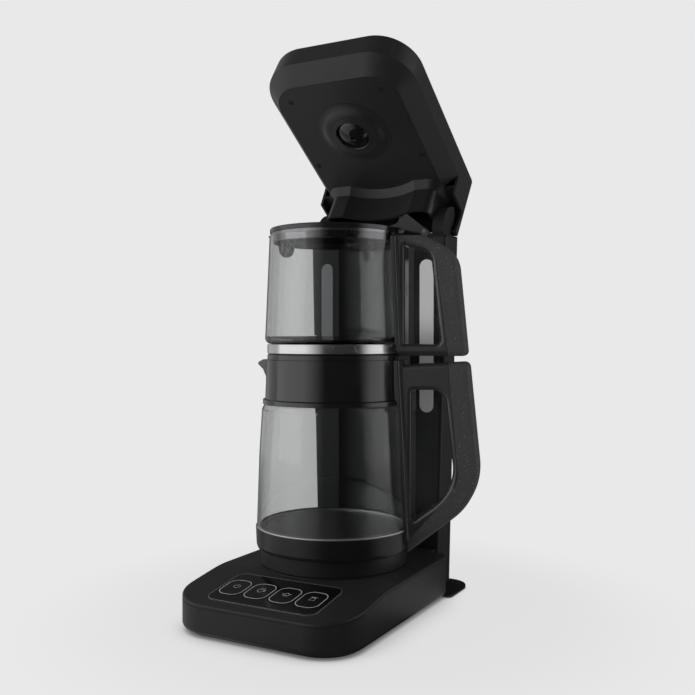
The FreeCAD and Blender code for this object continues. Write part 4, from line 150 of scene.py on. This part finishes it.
def mixed_shader(tree, share, first, second):
    node = tree.nodes.new("ShaderNodeMixShader")
    for socket, value in zip(node.inputs, (share, first, second)):
        tree.links.new(value, socket)
    return node.outputs[0]


# ---------------------------------------------------------------- effects shared by finishes
def moulded_skin():
    """The fine spark-eroded texture of a moulding, with broad clouds of gloss."""
    group, enter, leave = effect("moulded_skin", [("Grain", 2600.0), ("Cloud", 26.0)], ["Height", "Clouds"])
    place = object_place(group)
    fine = noise(group, place, enter.outputs["Grain"], detail=3.0, roughness=0.6)
    pits = cells_at(group, place, enter.outputs["Grain"], feature="SMOOTH_F1").outputs["Distance"]
    clouds = noise(group, place, enter.outputs["Cloud"], detail=3.0, roughness=0.55)
    group.links.new(scaled(group, pits, 0.6, fine), leave.inputs["Height"])
    group.links.new(clouds, leave.inputs["Clouds"])
    return group


def handling():
    """Rubbed edges, settled dust on upward faces and faint finger marks."""
    group, enter, leave = effect("handling", [("Reach", 0.0007), ("Marks", 60.0)],
                                 ["Edge", "Dust", "Smudge"])
    place = object_place(group)
    rounded = group.nodes.new("ShaderNodeBevel")
    rounded.samples = 4
    group.links.new(enter.outputs["Reach"], rounded.inputs["Radius"])
    normal = group.nodes.new("ShaderNodeNewGeometry").outputs["Normal"]
    bend = vector_node(group, "DOT_PRODUCT", rounded.outputs["Normal"], normal).outputs["Value"]
    sharp = soft_step(group, bend, low=0.995, high=0.88)
    upward = soft_step(group, split_vector(group, normal)["Z"], low=0.55, high=1.0)
    breaks = noise(group, place, scale=420.0, detail=4.0, roughness=0.7)
    broken = soft_step(group, breaks, low=0.38, high=0.66)
    grit = noise(group, place, scale=900.0, roughness=0.8)
    specks = soft_step(group, grit, low=0.55, high=0.75)
    marks = noise(group, place, enter.outputs["Marks"], detail=5.0, roughness=0.6)
    group.links.new(math_node(group, "MULTIPLY", sharp, broken), leave.inputs["Edge"])
    group.links.new(math_node(group, "MULTIPLY", upward, specks), leave.inputs["Dust"])
    group.links.new(soft_step(group, marks, low=0.48, high=0.7), leave.inputs["Smudge"])
    return group


def stone_specks():
    """Pale flecks of two sizes and a faint mottle, as in granite-look soft-touch plastic."""
    group, enter, leave = effect("stone_specks", [("Size", 900.0)], ["Pale", "Faint"])
    place = object_place(group)
    masks = []
    for factor, outside, inside in ((1.0, 0.24, 0.13), (0.42, 0.15, 0.09)):
        cells = cells_at(group, place, math_node(group, "MULTIPLY", enter.outputs["Size"], factor))
        near = soft_step(group, cells.outputs["Distance"], low=outside, high=inside)
        split = group.nodes.new("ShaderNodeSeparateColor")
        group.links.new(cells.outputs["Color"], split.inputs[0])
        chosen = soft_step(group, split.outputs[0], low=0.62, high=0.72)
        masks.append(math_node(group, "MULTIPLY", near, chosen))
    group.links.new(math_node(group, "MAXIMUM", *masks), leave.inputs["Pale"])
    group.links.new(noise(group, place, scale=1500.0, detail=3.0, roughness=0.8), leave.inputs["Faint"])
    return group


def drawn_lines():
    """The fine rings that spinning and polishing leave round the kettle's axis."""
    group, enter, leave = effect("drawn_lines", [("Fineness", 1800.0)], ["Height", "Streaks"])
    centred = vector_node(group, "SUBTRACT", object_place(group), FRAME_SHIFT * MM).outputs["Vector"]
    along = split_vector(group, centred)
    squares = [math_node(group, "MULTIPLY", along[axis], along[axis]) for axis in ("X", "Y")]
    radius = math_node(group, "SQRT", math_node(group, "ADD", *squares))
    turn = math_node(group, "ARCTAN2", along["Y"], along["X"])
    unrolled = group.nodes.new("ShaderNodeCombineXYZ")
    group.links.new(radius, unrolled.inputs["X"])
    group.links.new(along["Z"], unrolled.inputs["Y"])
    group.links.new(math_node(group, "MULTIPLY", turn, 0.0006), unrolled.inputs["Z"])
    lines = noise(group, unrolled.outputs[0], enter.outputs["Fineness"], detail=3.0, roughness=0.7)
    group.links.new(lines, leave.inputs["Height"])
    group.links.new(noise(group, unrolled.outputs[0], scale=320.0), leave.inputs["Streaks"])
    return group


SKIN = moulded_skin()
HANDLING = handling()
SPECKS = stone_specks()
LINES = drawn_lines()


# ---------------------------------------------------------------- kinds of finish
def blank_finish(name):
    material = bpy.data.materials.new(name)
    material.use_nodes = True
    tree = material.node_tree
    tree.nodes.clear()
    out = tree.nodes.new("ShaderNodeOutputMaterial")
    shader = tree.nodes.new("ShaderNodeBsdfPrincipled")
    tree.links.new(shader.outputs[0], out.inputs["Surface"])
    return material, tree, shader


def placed_effect(tree, group, **values):
    node = tree.nodes.new("ShaderNodeGroup")
    node.node_tree = group
    for label, value in values.items():
        node.inputs[label].default_value = value
    return node.outputs


def blended(tree, amount, first, second):
    node = tree.nodes.new("ShaderNodeMix")
    node.data_type = "RGBA"
    tree.links.new(amount, node.inputs["Factor"])
    feed(tree, node.inputs["A"], first)
    feed(tree, node.inputs["B"], second)
    return node.outputs["Result"]


def relief(tree, height, depth):
    """The shading normal of a height of nought to one, with the depth in metres."""
    node = tree.nodes.new("ShaderNodeBump")
    node.inputs["Strength"].default_value = 1.0
    node.inputs["Distance"].default_value = depth
    tree.links.new(height, node.inputs["Height"])
    return node.outputs["Normal"]


def dressed(tree, shader, colour, roughness, normal):
    tree.links.new(colour, shader.inputs["Base Color"])
    tree.links.new(roughness, shader.inputs["Roughness"])
    tree.links.new(normal, shader.inputs["Normal"])


def toned(colour, factor, lift=0.0):
    return tuple(min(1.0, c * factor + lift) for c in colour)


DUST_TONE = (0.35, 0.34, 0.32)
DUST_SHARE = 0.2                                 # of the dust tone where the dust is thickest
RUBBED_GAIN = 2.2                                # how much paler a plastic's rubbed edges are
RUBBED_LIFT = 0.02


def plastic(name, colour, roughness, grain=2600.0, depth=0.000012, wear=0.35, dust=0.0, cloud=0.10,
            specular=0.5, marks=60.0, glow=0.0, uneven=0.10, smudged=0.06):
    """Moulded plastic; depths are in metres, and uneven and smudged are shares of roughness."""
    material, tree, shader = blank_finish(name)
    skin = placed_effect(tree, SKIN, Grain=grain, Cloud=24.0)
    touched = placed_effect(tree, HANDLING, Marks=marks)
    base = blended(tree, skin["Clouds"], toned(colour, 1.0 - cloud), toned(colour, 1.0 + cloud))
    base = blended(tree, scaled(tree, touched["Edge"], wear), base,
                   toned(colour, RUBBED_GAIN, lift=RUBBED_LIFT))
    base = blended(tree, scaled(tree, touched["Dust"], dust * DUST_SHARE), base, DUST_TONE)
    rough = scaled(tree, skin["Clouds"], uneven, roughness - uneven / 2)
    rough = scaled(tree, touched["Smudge"], smudged, rough, clamp=True)
    dressed(tree, shader, base, rough, relief(tree, skin["Height"], depth))
    shader.inputs["Specular IOR Level"].default_value = specular
    shader.inputs["Emission Color"].default_value = (1.0, 1.0, 1.0, 1.0)
    shader.inputs["Emission Strength"].default_value = glow
    return material


def soft_touch(name, colour, roughness, fleck=(0.50, 0.50, 0.52), fleck_share=0.95,
               rubbed=(0.13, 0.13, 0.135), wear=0.25, dark=0.72, pale=1.35, uneven=0.12, polished=-0.10):
    """Dark soft-touch plastic with a mottle between two shares of its colour, and pale flecks."""
    material, tree, shader = blank_finish(name)
    skin = placed_effect(tree, SKIN, Grain=1500.0, Cloud=30.0)
    touched = placed_effect(tree, HANDLING, Marks=45.0)
    specks = placed_effect(tree, SPECKS, Size=620.0)
    base = blended(tree, specks["Faint"], toned(colour, dark), toned(colour, pale))
    base = blended(tree, scaled(tree, specks["Pale"], fleck_share), base, fleck)
    base = blended(tree, scaled(tree, touched["Edge"], wear), base, rubbed)
    rough = scaled(tree, touched["Smudge"], polished, roughness)
    rough = scaled(tree, skin["Clouds"], uneven, rough, clamp=True)
    dressed(tree, shader, base, rough, relief(tree, skin["Height"], 0.00003))
    return material


def metal(name, colour, roughness, rings=True, depth=0.000004, wear=0.1, fineness=1800.0,
          rubbed=(0.8, 0.8, 0.8), dark=0.86, pale=1.08, uneven=0.12, smudged=0.10):
    """Bare metal, with rings round the kettle's axis or an even grain."""
    material, tree, shader = blank_finish(name)
    touched = placed_effect(tree, HANDLING, Marks=90.0)
    if rings:
        lines = placed_effect(tree, LINES, Fineness=fineness)
        height, tone = lines["Height"], lines["Streaks"]
    else:
        skin = placed_effect(tree, SKIN, Grain=1200.0, Cloud=120.0)
        height, tone = skin["Height"], skin["Clouds"]
    base = blended(tree, tone, toned(colour, dark), toned(colour, pale))
    base = blended(tree, scaled(tree, touched["Edge"], wear), base, rubbed)
    rough = scaled(tree, height, uneven, roughness - uneven / 2)
    rough = scaled(tree, touched["Smudge"], smudged, rough, clamp=True)
    dressed(tree, shader, base, rough, relief(tree, height, depth))
    shader.inputs["Metallic"].default_value = 1.0
    return material


def glass(name, colour, far_gloss=0.08, near_gloss=0.4, near_walls=1.5, tint=0.985, smudged=0.004):
    """Clear glass, whose far walls mirror less than the wall that is seen first."""
    material, tree, shader = blank_finish(name)
    skin = placed_effect(tree, SKIN, Grain=14.0, Cloud=55.0)
    touched = placed_effect(tree, HANDLING, Marks=38.0)
    base = blended(tree, skin["Clouds"], toned(colour, tint), colour)
    rough = scaled(tree, touched["Smudge"], smudged)
    dressed(tree, shader, base, rough, relief(tree, skin["Height"], 0.00006))
    passed = tree.nodes.new("ShaderNodeLightPath").outputs["Transmission Depth"]
    near_wall = math_node(tree, "LESS_THAN", passed, near_walls)
    tree.links.new(scaled(tree, near_wall, near_gloss, far_gloss), shader.inputs["Specular IOR Level"])
    shader.inputs["Transmission Weight"].default_value = 1.0
    shader.inputs["IOR"].default_value = 1.47
    return material


def milky(name, colour, roughness, dark=0.9, pale=1.06, stain=0.7, stained=0.12, uneven=0.12):
    """Pale translucent plastic or silicone, a little cloudy inside."""
    material, tree, shader = blank_finish(name)
    skin = placed_effect(tree, SKIN, Grain=1900.0, Cloud=70.0)
    touched = placed_effect(tree, HANDLING, Marks=70.0)
    base = blended(tree, skin["Clouds"], toned(colour, dark), toned(colour, pale))
    base = blended(tree, scaled(tree, touched["Smudge"], stained), base, toned(colour, stain))
    rough = scaled(tree, skin["Clouds"], uneven, roughness)
    dressed(tree, shader, base, rough, relief(tree, skin["Height"], 0.00001))
    shader.inputs["Subsurface Weight"].default_value = 0.25
    shader.inputs["Subsurface Radius"].default_value = (0.002, 0.002, 0.002)
    shader.inputs["Subsurface Scale"].default_value = 0.6
    return material


def painted_glow_strip(name, colour, glow, low, high):
    """A milky strip with painted light: a glow of its own that grows stronger towards its upper end, between
    two heights in metres.
    """
    material = milky(name, colour, 0.30)
    tree = material.node_tree
    shader = [node for node in tree.nodes if node.type == "BSDF_PRINCIPLED"][0]
    upper = soft_step(tree, split_vector(tree, object_place(tree))["Z"], low, high, out_low=0.15)
    tone = tree.nodes.new("ShaderNodeCombineColor")
    for socket in tone.inputs:
        if socket.enabled:
            tree.links.new(upper, socket)
    tree.links.new(tone.outputs[0], shader.inputs["Emission Color"])
    shader.inputs["Emission Strength"].default_value = glow
    return material


def circuit(name, lacquer=(0.02, 0.10, 0.045), track=(0.045, 0.24, 0.10), roughness=0.3, uneven=0.2):
    """Green lacquer in fields, with paler tracks between them."""
    material, tree, shader = blank_finish(name)
    brick = tree.nodes.new("ShaderNodeTexBrick")
    tree.links.new(object_place(tree), brick.inputs["Vector"])
    for label, value in (("Scale", 160.0), ("Mortar Size", 0.06), ("Mortar", track),
                         ("Color1", (0.018, 0.13, 0.05)), ("Color2", (0.022, 0.16, 0.065))):
        feed(tree, brick.inputs[label], value)
    skin = placed_effect(tree, SKIN, Grain=1700.0, Cloud=200.0)
    base = blended(tree, skin["Clouds"], brick.outputs["Color"], lacquer)
    rough = scaled(tree, skin["Clouds"], uneven, roughness)
    dressed(tree, shader, base, rough, relief(tree, brick.outputs["Fac"], 0.00004))
    return material


# ---------------------------------------------------------------- the finishes
body_grey = plastic("body_grey", (0.034, 0.0345, 0.0355), 0.42, grain=2400.0, depth=0.000014, specular=0.42)
black_satin = plastic("black_satin", (0.022, 0.022, 0.023), 0.38)
plate_black = plastic("plate_black", (0.022, 0.022, 0.023), 0.30, depth=0.000008, cloud=0.06, specular=0.7)
hood_black = plastic("hood_black", (0.024, 0.024, 0.025), 0.33, depth=0.000006)
dome_black = plastic("dome_black", (0.006, 0.006, 0.006), 0.07, depth=0.000002, wear=0.1, specular=1.0)
black_gloss = plastic("black_gloss", (0.004, 0.004, 0.0045), 0.12, depth=0.000003, wear=0.15, specular=0.3)
key_black = plastic("key_black", (0.005, 0.005, 0.0055), 0.14, depth=0.000003, wear=0.2, specular=0.3)
collar_black = plastic("collar_black", (0.006, 0.006, 0.0065), 0.16, depth=0.000004, wear=0.2, specular=0.9,
                       marks=30.0)
frame_black = plastic("frame_black", (0.046, 0.047, 0.049), 0.20, depth=0.000006, specular=1.0)
skirt_grey = plastic("skirt_grey", (0.010, 0.010, 0.011), 0.22, depth=0.000005, wear=0.2, specular=0.7)
matt_black = plastic("matt_black", (0.010, 0.010, 0.010), 0.62, grain=1500.0, depth=0.00002)
rubber = plastic("rubber", (0.014, 0.014, 0.014), 0.75, grain=1100.0, depth=0.00004, wear=0.1, dust=0.6)
inner_white = plastic("inner_white", (0.58, 0.58, 0.56), 0.45, depth=0.00001)
# painted light: the pale printed marks on the keys are given a faint glow of their own, which makes them
# brighter
mark_pale = plastic("mark_pale", (0.78, 0.79, 0.80), 0.42, depth=0.000004, wear=0.0, glow=0.07)
grip_speckle = soft_touch("grip_speckle", (0.125, 0.126, 0.130), 0.50)
strip_pale = milky("strip_pale", (0.72, 0.73, 0.74), 0.30)
# painted light: only the right strip is given a glow, stronger at its upper end; the left strip has none
strip_painted_glow = painted_glow_strip("strip_painted_glow", (0.80, 0.81, 0.82), glow=0.28, low=0.235, high=0.285)
gasket_milky = milky("gasket_milky", (0.20, 0.20, 0.20), 0.4)
hose_silicone = milky("hose_silicone", (0.6, 0.6, 0.58), 0.42)
steel_bright = metal("steel_bright", (0.74, 0.74, 0.74), 0.18)
# painted shade: the rim is given a much darker steel than the band, standing for the dark surroundings that
# the rounded rim reflects
rim_steel = metal("rim_steel", (0.30, 0.30, 0.31), 0.20)
steel_floor = metal("steel_floor", (0.66, 0.66, 0.66), 0.32, depth=0.0000015, fineness=700.0)
rim_line = metal("rim_line", (0.85, 0.85, 0.85), 0.50)
trim_pale = metal("trim_pale", (0.50, 0.51, 0.52), 0.45, rings=False)
steel_plain = metal("steel_plain", (0.40, 0.40, 0.41), 0.32, rings=False)
motor_steel = metal("motor_steel", (0.33, 0.33, 0.34), 0.42, rings=False)
screw_black = metal("screw_black", (0.06, 0.06, 0.063), 0.36, rings=False, wear=0.5)
board_green = circuit("board_green")
glass_clear = glass("glass_clear", (0.71, 0.72, 0.72))
pot_glass = glass("pot_glass", (0.70, 0.71, 0.71))

FINISHED = (
    (body_grey, "base_shell deck_cover column_front column_back head_cover"),
    (black_satin, "dock_plate power_connector kettle_under kettle_contact"),
    (plate_black, "head_plate nozzle_ring"),
    (hood_black, "head_hood"),
    (dome_black, "nozzle_dome"),
    (black_gloss, "control_panel"),
    (key_black, "key_1 key_2 key_3 key_4"),
    (collar_black, "kettle_collar kettle_lid teapot_lid"),
    (frame_black, "kettle_handle_frame teapot_handle_frame thumb_tab"),
    (skirt_grey, "kettle_skirt"),
    (matt_black, "bottom_plate hinge_housing head_screws"),
    (rubber, "base_feet cord_gland kettle_pads"),
    (inner_white, "pump_head hinge_washers"),
    (grip_speckle, "kettle_handle_grip teapot_handle_grip"),
    (strip_pale, "light_strip_left"),
    (strip_painted_glow, "light_strip_right"),
    (gasket_milky, "kettle_gasket"),
    (hose_silicone, "water_port kettle_valve inlet_hose riser_hose head_hose"),
    (steel_bright, "teapot_band"),
    (rim_steel, "teapot_rim"),
    (steel_floor, "heater_plate"),
    (rim_line, "kettle_rim_plate"),
    (trim_pale, "panel_trim"),
    (steel_plain, "hinge_pins lid_pin"),
    (motor_steel, "pump_motor kettle_thermostat"),
    (screw_black, "base_screws column_screws teapot_strainer"),
    (board_green, "control_board power_board"),
    (glass_clear, "kettle_glass"),
    (pot_glass, "teapot_glass"),
)
FINISHES = {name: material for material, names in FINISHED for name in names.split()}
for node_name, node_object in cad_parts.items():
    node_object.data.materials.clear()
    node_object.data.materials.append(FINISHES[node_name])


# ---------------------------------------------------------------- modelling helpers
def clear_selection():
    for other in bpy.context.selected_objects:
        other.select_set(False)


def settle(piece, place, material, body):
    """Bakes a placing matrix, in millimetres from the kettle's axis, into the mesh."""
    bring = Matrix.Scale(MM, 4) @ Matrix.Translation(FRAME_SHIFT) @ place
    piece.data.transform(bring @ piece.matrix_world)
    piece.matrix_world = Matrix.Identity(4)
    piece.data.materials.clear()
    piece.data.materials.append(material)
    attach(piece, body)


def stroke(name, lines, width):
    """Flat line work: round-bevelled curves made into one mesh."""
    clear_selection()
    data = bpy.data.curves.new(name, "CURVE")
    data.dimensions = "3D"
    data.bevel_depth = width / 2
    data.bevel_resolution = 2
    data.use_fill_caps = True
    for points, closed in lines:
        spline = data.splines.new("POLY")
        spline.points.add(len(points) - 1)
        for point, (x, y) in zip(spline.points, points):
            point.co = (x, y, 0.0, 1.0)
        spline.use_cyclic_u = closed
    piece = bpy.data.objects.new(name, data)
    bpy.context.scene.collection.objects.link(piece)
    bpy.context.view_layer.objects.active = piece
    piece.select_set(True)
    bpy.ops.object.convert(target="MESH")
    piece = bpy.context.view_layer.objects.active
    piece.data.transform(Matrix.Diagonal((1.0, 1.0, STROKE_FLATNESS, 1.0)))
    piece.select_set(False)
    return piece


def arc_points(x, y, radius, start, end, count):
    angles = [math.radians(start + (end - start) * n / (count - 1)) for n in range(count)]
    return [(x + radius * math.cos(a), y + radius * math.sin(a)) for a in angles]


def rounded_square(half_x, half_y, corner, count=9):
    points = []
    for sx, sy, start in ((1, 1, 0), (-1, 1, 90), (-1, -1, 180), (1, -1, 270)):
        points += arc_points(sx * (half_x - corner), sy * (half_y - corner), corner, start, start + 90, count)
    return points


def on_panel(x, lift):
    """The place of a mark on the sloping panel, at the middle of the key row."""
    slope = Matrix.Rotation(SLOPE, 4, "X")
    return Matrix.Translation(PANEL_REAR_EDGE) @ slope @ Matrix.Translation((x, KEY_ROW, lift))


# ---------------------------------------------------------------- key outlines and symbols
# each line is its points, in millimetres from the key's middle, and whether it is closed
def cup(x, y, size):
    bowl = [(x - size, y + size * 0.5)] + arc_points(x, y - size * 0.1, size, 180, 360, 13)
    bowl += [(x + size, y + size * 0.5)]
    ear = arc_points(x + size, y + size * 0.05, size * 0.42, 80, -80, 9)
    return [(bowl, True), (ear, False)]


def steam(x, y, height, steps=7, sway=0.35, pace=0.9):
    wave = [(x + sway * math.sin(n * pace), y + height * n / steps) for n in range(steps + 1)]
    return [(wave, False)]


POWER_SIGN = [(arc_points(0, 2.2, 3.0, 125, 415, 25), False), ([(0, 2.6), (0, 5.8)], False)]
STEAMING_CUP = cup(-0.4, 1.6, 3.0) + steam(-1.8, 4.4, 1.8) + steam(0.0, 4.4, 1.8) + steam(1.8, 4.4, 1.8)
ROUND_POT = [
    (arc_points(0, 1.4, 2.6, 0, 360, 25)[:-1], True),
    (arc_points(0, 1.4, 1.3, 200, 340, 9), False),
    ([(0, 4.0), (0, 4.9)], False),
    ([(2.5, 2.2), (4.0, 3.4)], False),
    (arc_points(-2.6, 1.6, 1.1, 100, 260, 9), False),
]
JUG_UNDER_LINE = [
    ([(-2.6, -0.8), (2.6, -0.8), (1.9, 3.2), (-1.9, 3.2)], True),
    ([(-1.2, 3.2), (-1.2, 4.2), (1.2, 4.2), (1.2, 3.2)], False),
    ([(-3.4, 4.9), (3.4, 4.9)], False),
]
KEY_SYMBOLS = (POWER_SIGN, STEAMING_CUP, ROUND_POT, JUG_UNDER_LINE)
KEY_OUTLINE = [(rounded_square(OUTLINE_HALF_X, OUTLINE_HALF_Y, OUTLINE_CORNER), True)]
for number, (key_name, symbol_lines) in enumerate(zip(KEY_NAMES, KEY_SYMBOLS)):
    key_place = on_panel(KEY_ROW_X + (number - (len(KEY_NAMES) - 1) / 2) * KEY_PITCH, KEY_TOP)
    outline = stroke(key_name + "_outline", KEY_OUTLINE, OUTLINE_WIDTH)
    settle(outline, key_place, mark_pale, key_name)
    symbol = stroke(key_name + "_symbol", symbol_lines, SYMBOL_WIDTH)
    settle(symbol, key_place, mark_pale, key_name)


# ---------------------------------------------------------------- dark crosses on the screw heads, painted shade for their cross recesses
def recess_shade_cross(name):
    # a flat matt-black cross laid on the screw head: painted shade standing for the recess
    clear_selection()
    bpy.ops.mesh.primitive_cube_add(size=1.0)
    piece = bpy.context.active_object
    piece.name = name
    piece.data.transform(Matrix.Diagonal((RECESS_LENGTH, RECESS_WIDTH, RECESS_HEIGHT, 1.0)))
    bpy.ops.object.mode_set(mode="EDIT")
    bpy.ops.mesh.select_all(action="SELECT")
    bpy.ops.mesh.duplicate()
    bpy.ops.transform.rotate(value=math.radians(90), orient_axis="Z", center_override=(0.0, 0.0, 0.0))
    bpy.ops.object.mode_set(mode="OBJECT")
    bevel = piece.modifiers.new("softened", "BEVEL")
    bevel.width = RECESS_EDGE
    bevel.segments = 2
    bpy.ops.object.modifier_apply(modifier="softened")
    return piece


def on_head(x, y):
    turned = Matrix.Rotation(-HEAD_TURN, 4, "X")
    closed = Matrix.Translation((x, y, HEAD_SCREW_FACE))
    return Matrix.Translation(HINGE) @ turned @ Matrix.Translation(-HINGE) @ closed


def on_column(x, z):
    return Matrix.Translation((x, COLUMN_SCREW_FACE, z)) @ Matrix.Rotation(math.radians(90), 4, "X")


def on_underside(x, y):
    return Matrix.Translation((x, y, BASE_SCREW_FACE))


for screw_group, places, set_on, screw_body in (("head", HEAD_SCREWS, on_head, "head"),
                                                ("column", COLUMN_SCREWS, on_column, "base"),
                                                ("base", BASE_SCREWS, on_underside, "base")):
    for number, screw_place in enumerate(places, 1):
        recess = recess_shade_cross("%s_recess_%d" % (screw_group, number))
        settle(recess, set_on(*screw_place), matt_black, screw_body)


# ---------------------------------------------------------------- studio
CAMERA_SIDE = Vector((0.480, -0.877, 0.0))
RIGHT_SIDE = Vector((0.877, 0.480, 0.0))
UP = Vector((0.0, 0.0, 1.0))
WHITE = (1.0, 1.0, 1.0)
BACKDROP = 0.815
FLOOR_SIZE = 14.0
PAPER = (0.86, 0.86, 0.86)
SCATTERING_PAPER = (0.8, 0.8, 0.8)               # what diffuse light from the object meets
# reach and samples of the ambient occlusion that darkens the floor's glow, a painted shadow
SHADOW_REACH = 0.05
SHADOW_SAMPLES = 16
AMBIENT = 0.12
# tones of the room in reflections, by the angle to the right of the camera in degrees
ROOM_TONES = ((-180, 0.10), (-160, 0.12), (-148, 0.50), (-110, 0.42), (-106, 1.0), (-50, 0.95), (-16, 0.02),
              (44, 0.01), (64, 0.80), (104, 1.0), (109, 0.05), (180, 0.04))


def room_tone(tree, place):
    """How bright the room is in a direction: panels at both sides, dark behind the camera and above."""
    right, forward = [vector_node(tree, "DOT_PRODUCT", place, side).outputs["Value"]
                      for side in (RIGHT_SIDE, CAMERA_SIDE)]
    share = scaled(tree, math_node(tree, "ARCTAN2", right, forward), 0.5 / math.pi, 0.5)
    ramp = tree.nodes.new("ShaderNodeValToRGB")
    tree.links.new(share, ramp.inputs[0])
    stops = ramp.color_ramp.elements
    while len(stops) < len(ROOM_TONES):
        stops.new(0.5)
    for stop, (angle, tone) in zip(stops, ROOM_TONES):
        stop.position = angle / 360 + 0.5
        stop.color = (tone, tone, tone, 1.0)
    return ramp.outputs["Color"]


def chosen_by_path(tree, straight, mirrored, scattered, out):
    """One look for what is seen straight or through glass, one for mirrored rays, one for diffuse light."""
    path = tree.nodes.new("ShaderNodeLightPath").outputs
    scattering = math_node(tree, "GREATER_THAN", path["Diffuse Depth"], 0.5)
    bounces = math_node(tree, "ADD", path["Diffuse Depth"], path["Glossy Depth"])
    bounced = math_node(tree, "GREATER_THAN", bounces, 0.5)
    seen = mixed_shader(tree, bounced, straight, mirrored)
    tree.links.new(mixed_shader(tree, scattering, seen, scattered), out.inputs["Surface"])


def shader_node(tree, kind, colour, strength=None):
    node = tree.nodes.new(kind)
    feed(tree, node.inputs["Color"], colour)
    if strength is not None:
        feed(tree, node.inputs["Strength"], strength)
    return node.outputs[0]


def studio_floor():
    """Pale paper that melts into the backdrop further off; near the object it is partly lit diffuse paper
    with a real shadow and partly glow darkened by ambient occlusion, a painted shadow.
    """
    clear_selection()
    bpy.ops.mesh.primitive_plane_add(size=FLOOR_SIZE, location=(0.0, 0.0, 0.0))
    floor = bpy.context.active_object
    floor.name = "studio_floor"
    material = bpy.data.materials.new("floor_paper")
    material.use_nodes = True
    tree = material.node_tree
    tree.nodes.clear()
    out = tree.nodes.new("ShaderNodeOutputMaterial")
    place = object_place(tree)
    distance = vector_node(tree, "LENGTH", place).outputs["Value"]
    near = soft_step(tree, distance, low=0.34, high=0.16, out_high=0.1)
    # painted shadow: ambient occlusion darkens the paper's glow near the object
    painted_shadow_ao = tree.nodes.new("ShaderNodeAmbientOcclusion")
    painted_shadow_ao.samples = SHADOW_SAMPLES
    painted_shadow_ao.inputs["Distance"].default_value = SHADOW_REACH
    glow_with_painted_shadow = soft_step(tree, painted_shadow_ao.outputs["AO"], low=0.0, high=0.85, out_low=0.1, out_high=BACKDROP)
    paper = shader_node(tree, "ShaderNodeBsdfDiffuse", PAPER)
    glowing_paper = shader_node(tree, "ShaderNodeEmission", WHITE, glow_with_painted_shadow)
    far_glow = soft_step(tree, distance, low=0.3, high=2.0, out_low=0.35)
    mirrored = shader_node(tree, "ShaderNodeEmission", room_tone(tree, place), far_glow)
    scattered = shader_node(tree, "ShaderNodeBsdfDiffuse", SCATTERING_PAPER)
    chosen_by_path(tree, mixed_shader(tree, near, glowing_paper, paper), mirrored, scattered, out)
    floor.data.materials.append(material)


def studio_world():
    world = bpy.data.worlds.new("studio")
    bpy.context.scene.world = world
    world.use_nodes = True
    tree = world.node_tree
    tree.nodes.clear()
    out = tree.nodes.new("ShaderNodeOutputWorld")
    place = tree.nodes.new("ShaderNodeTexCoord").outputs["Generated"]
    rise = vector_node(tree, "DOT_PRODUCT", place, UP).outputs["Value"]
    overhead = soft_step(tree, rise, low=0.45, high=0.85, out_low=1.0, out_high=0.12)
    straight = shader_node(tree, "ShaderNodeBackground", WHITE, BACKDROP)
    mirrored = shader_node(tree, "ShaderNodeBackground", room_tone(tree, place), overhead)
    scattered = shader_node(tree, "ShaderNodeBackground", WHITE, AMBIENT)
    chosen_by_path(tree, straight, mirrored, scattered, out)


def softbox(name, side_angle, height, distance, width, tall, power, aim=Vector((0.0, 0.0, 0.22))):
    """A rectangular lamp, placed by its angle to the right of the camera, aimed at the object."""
    angle = math.radians(side_angle)
    spot = (CAMERA_SIDE * math.cos(angle) + RIGHT_SIDE * math.sin(angle)) * distance + UP * height
    data = bpy.data.lights.new(name, "AREA")
    data.shape = "RECTANGLE"
    data.size = width
    data.size_y = tall
    data.energy = power
    lamp = bpy.data.objects.new(name, data)
    lamp.visible_glossy = False
    lamp.location = spot
    lamp.rotation_euler = (aim - spot).to_track_quat("-Z", "Y").to_euler()
    bpy.context.scene.collection.objects.link(lamp)


studio_floor()
studio_world()
softbox("left_softbox", side_angle=-72.0, height=0.55, distance=1.6, width=1.3, tall=1.3, power=6.0)
softbox("right_softbox", side_angle=69.0, height=0.45, distance=1.5, width=1.3, tall=1.1, power=0.9)
softbox("top_softbox", side_angle=170.0, height=1.7, distance=0.5, width=1.2, tall=1.2, power=1.0)

# ---------------------------------------------------------------- camera
LENS = 45.82
SENSOR_WIDTH = 36.0
CAMERA_PLACE = (0.39680, -0.74722, 0.25713)
CAMERA_PITCH = math.radians(89.277)
CAMERA_TURN = math.radians(28.719)
camera_data = bpy.data.cameras.new("camera")
camera_data.lens = LENS
camera_data.sensor_width = SENSOR_WIDTH
camera = bpy.data.objects.new("camera", camera_data)
camera.location = CAMERA_PLACE
camera.rotation_euler = (CAMERA_PITCH, 0.0, CAMERA_TURN)
bpy.context.scene.collection.objects.link(camera)
bpy.context.scene.camera = camera
bpy.context.scene.view_settings.view_transform = "Standard"
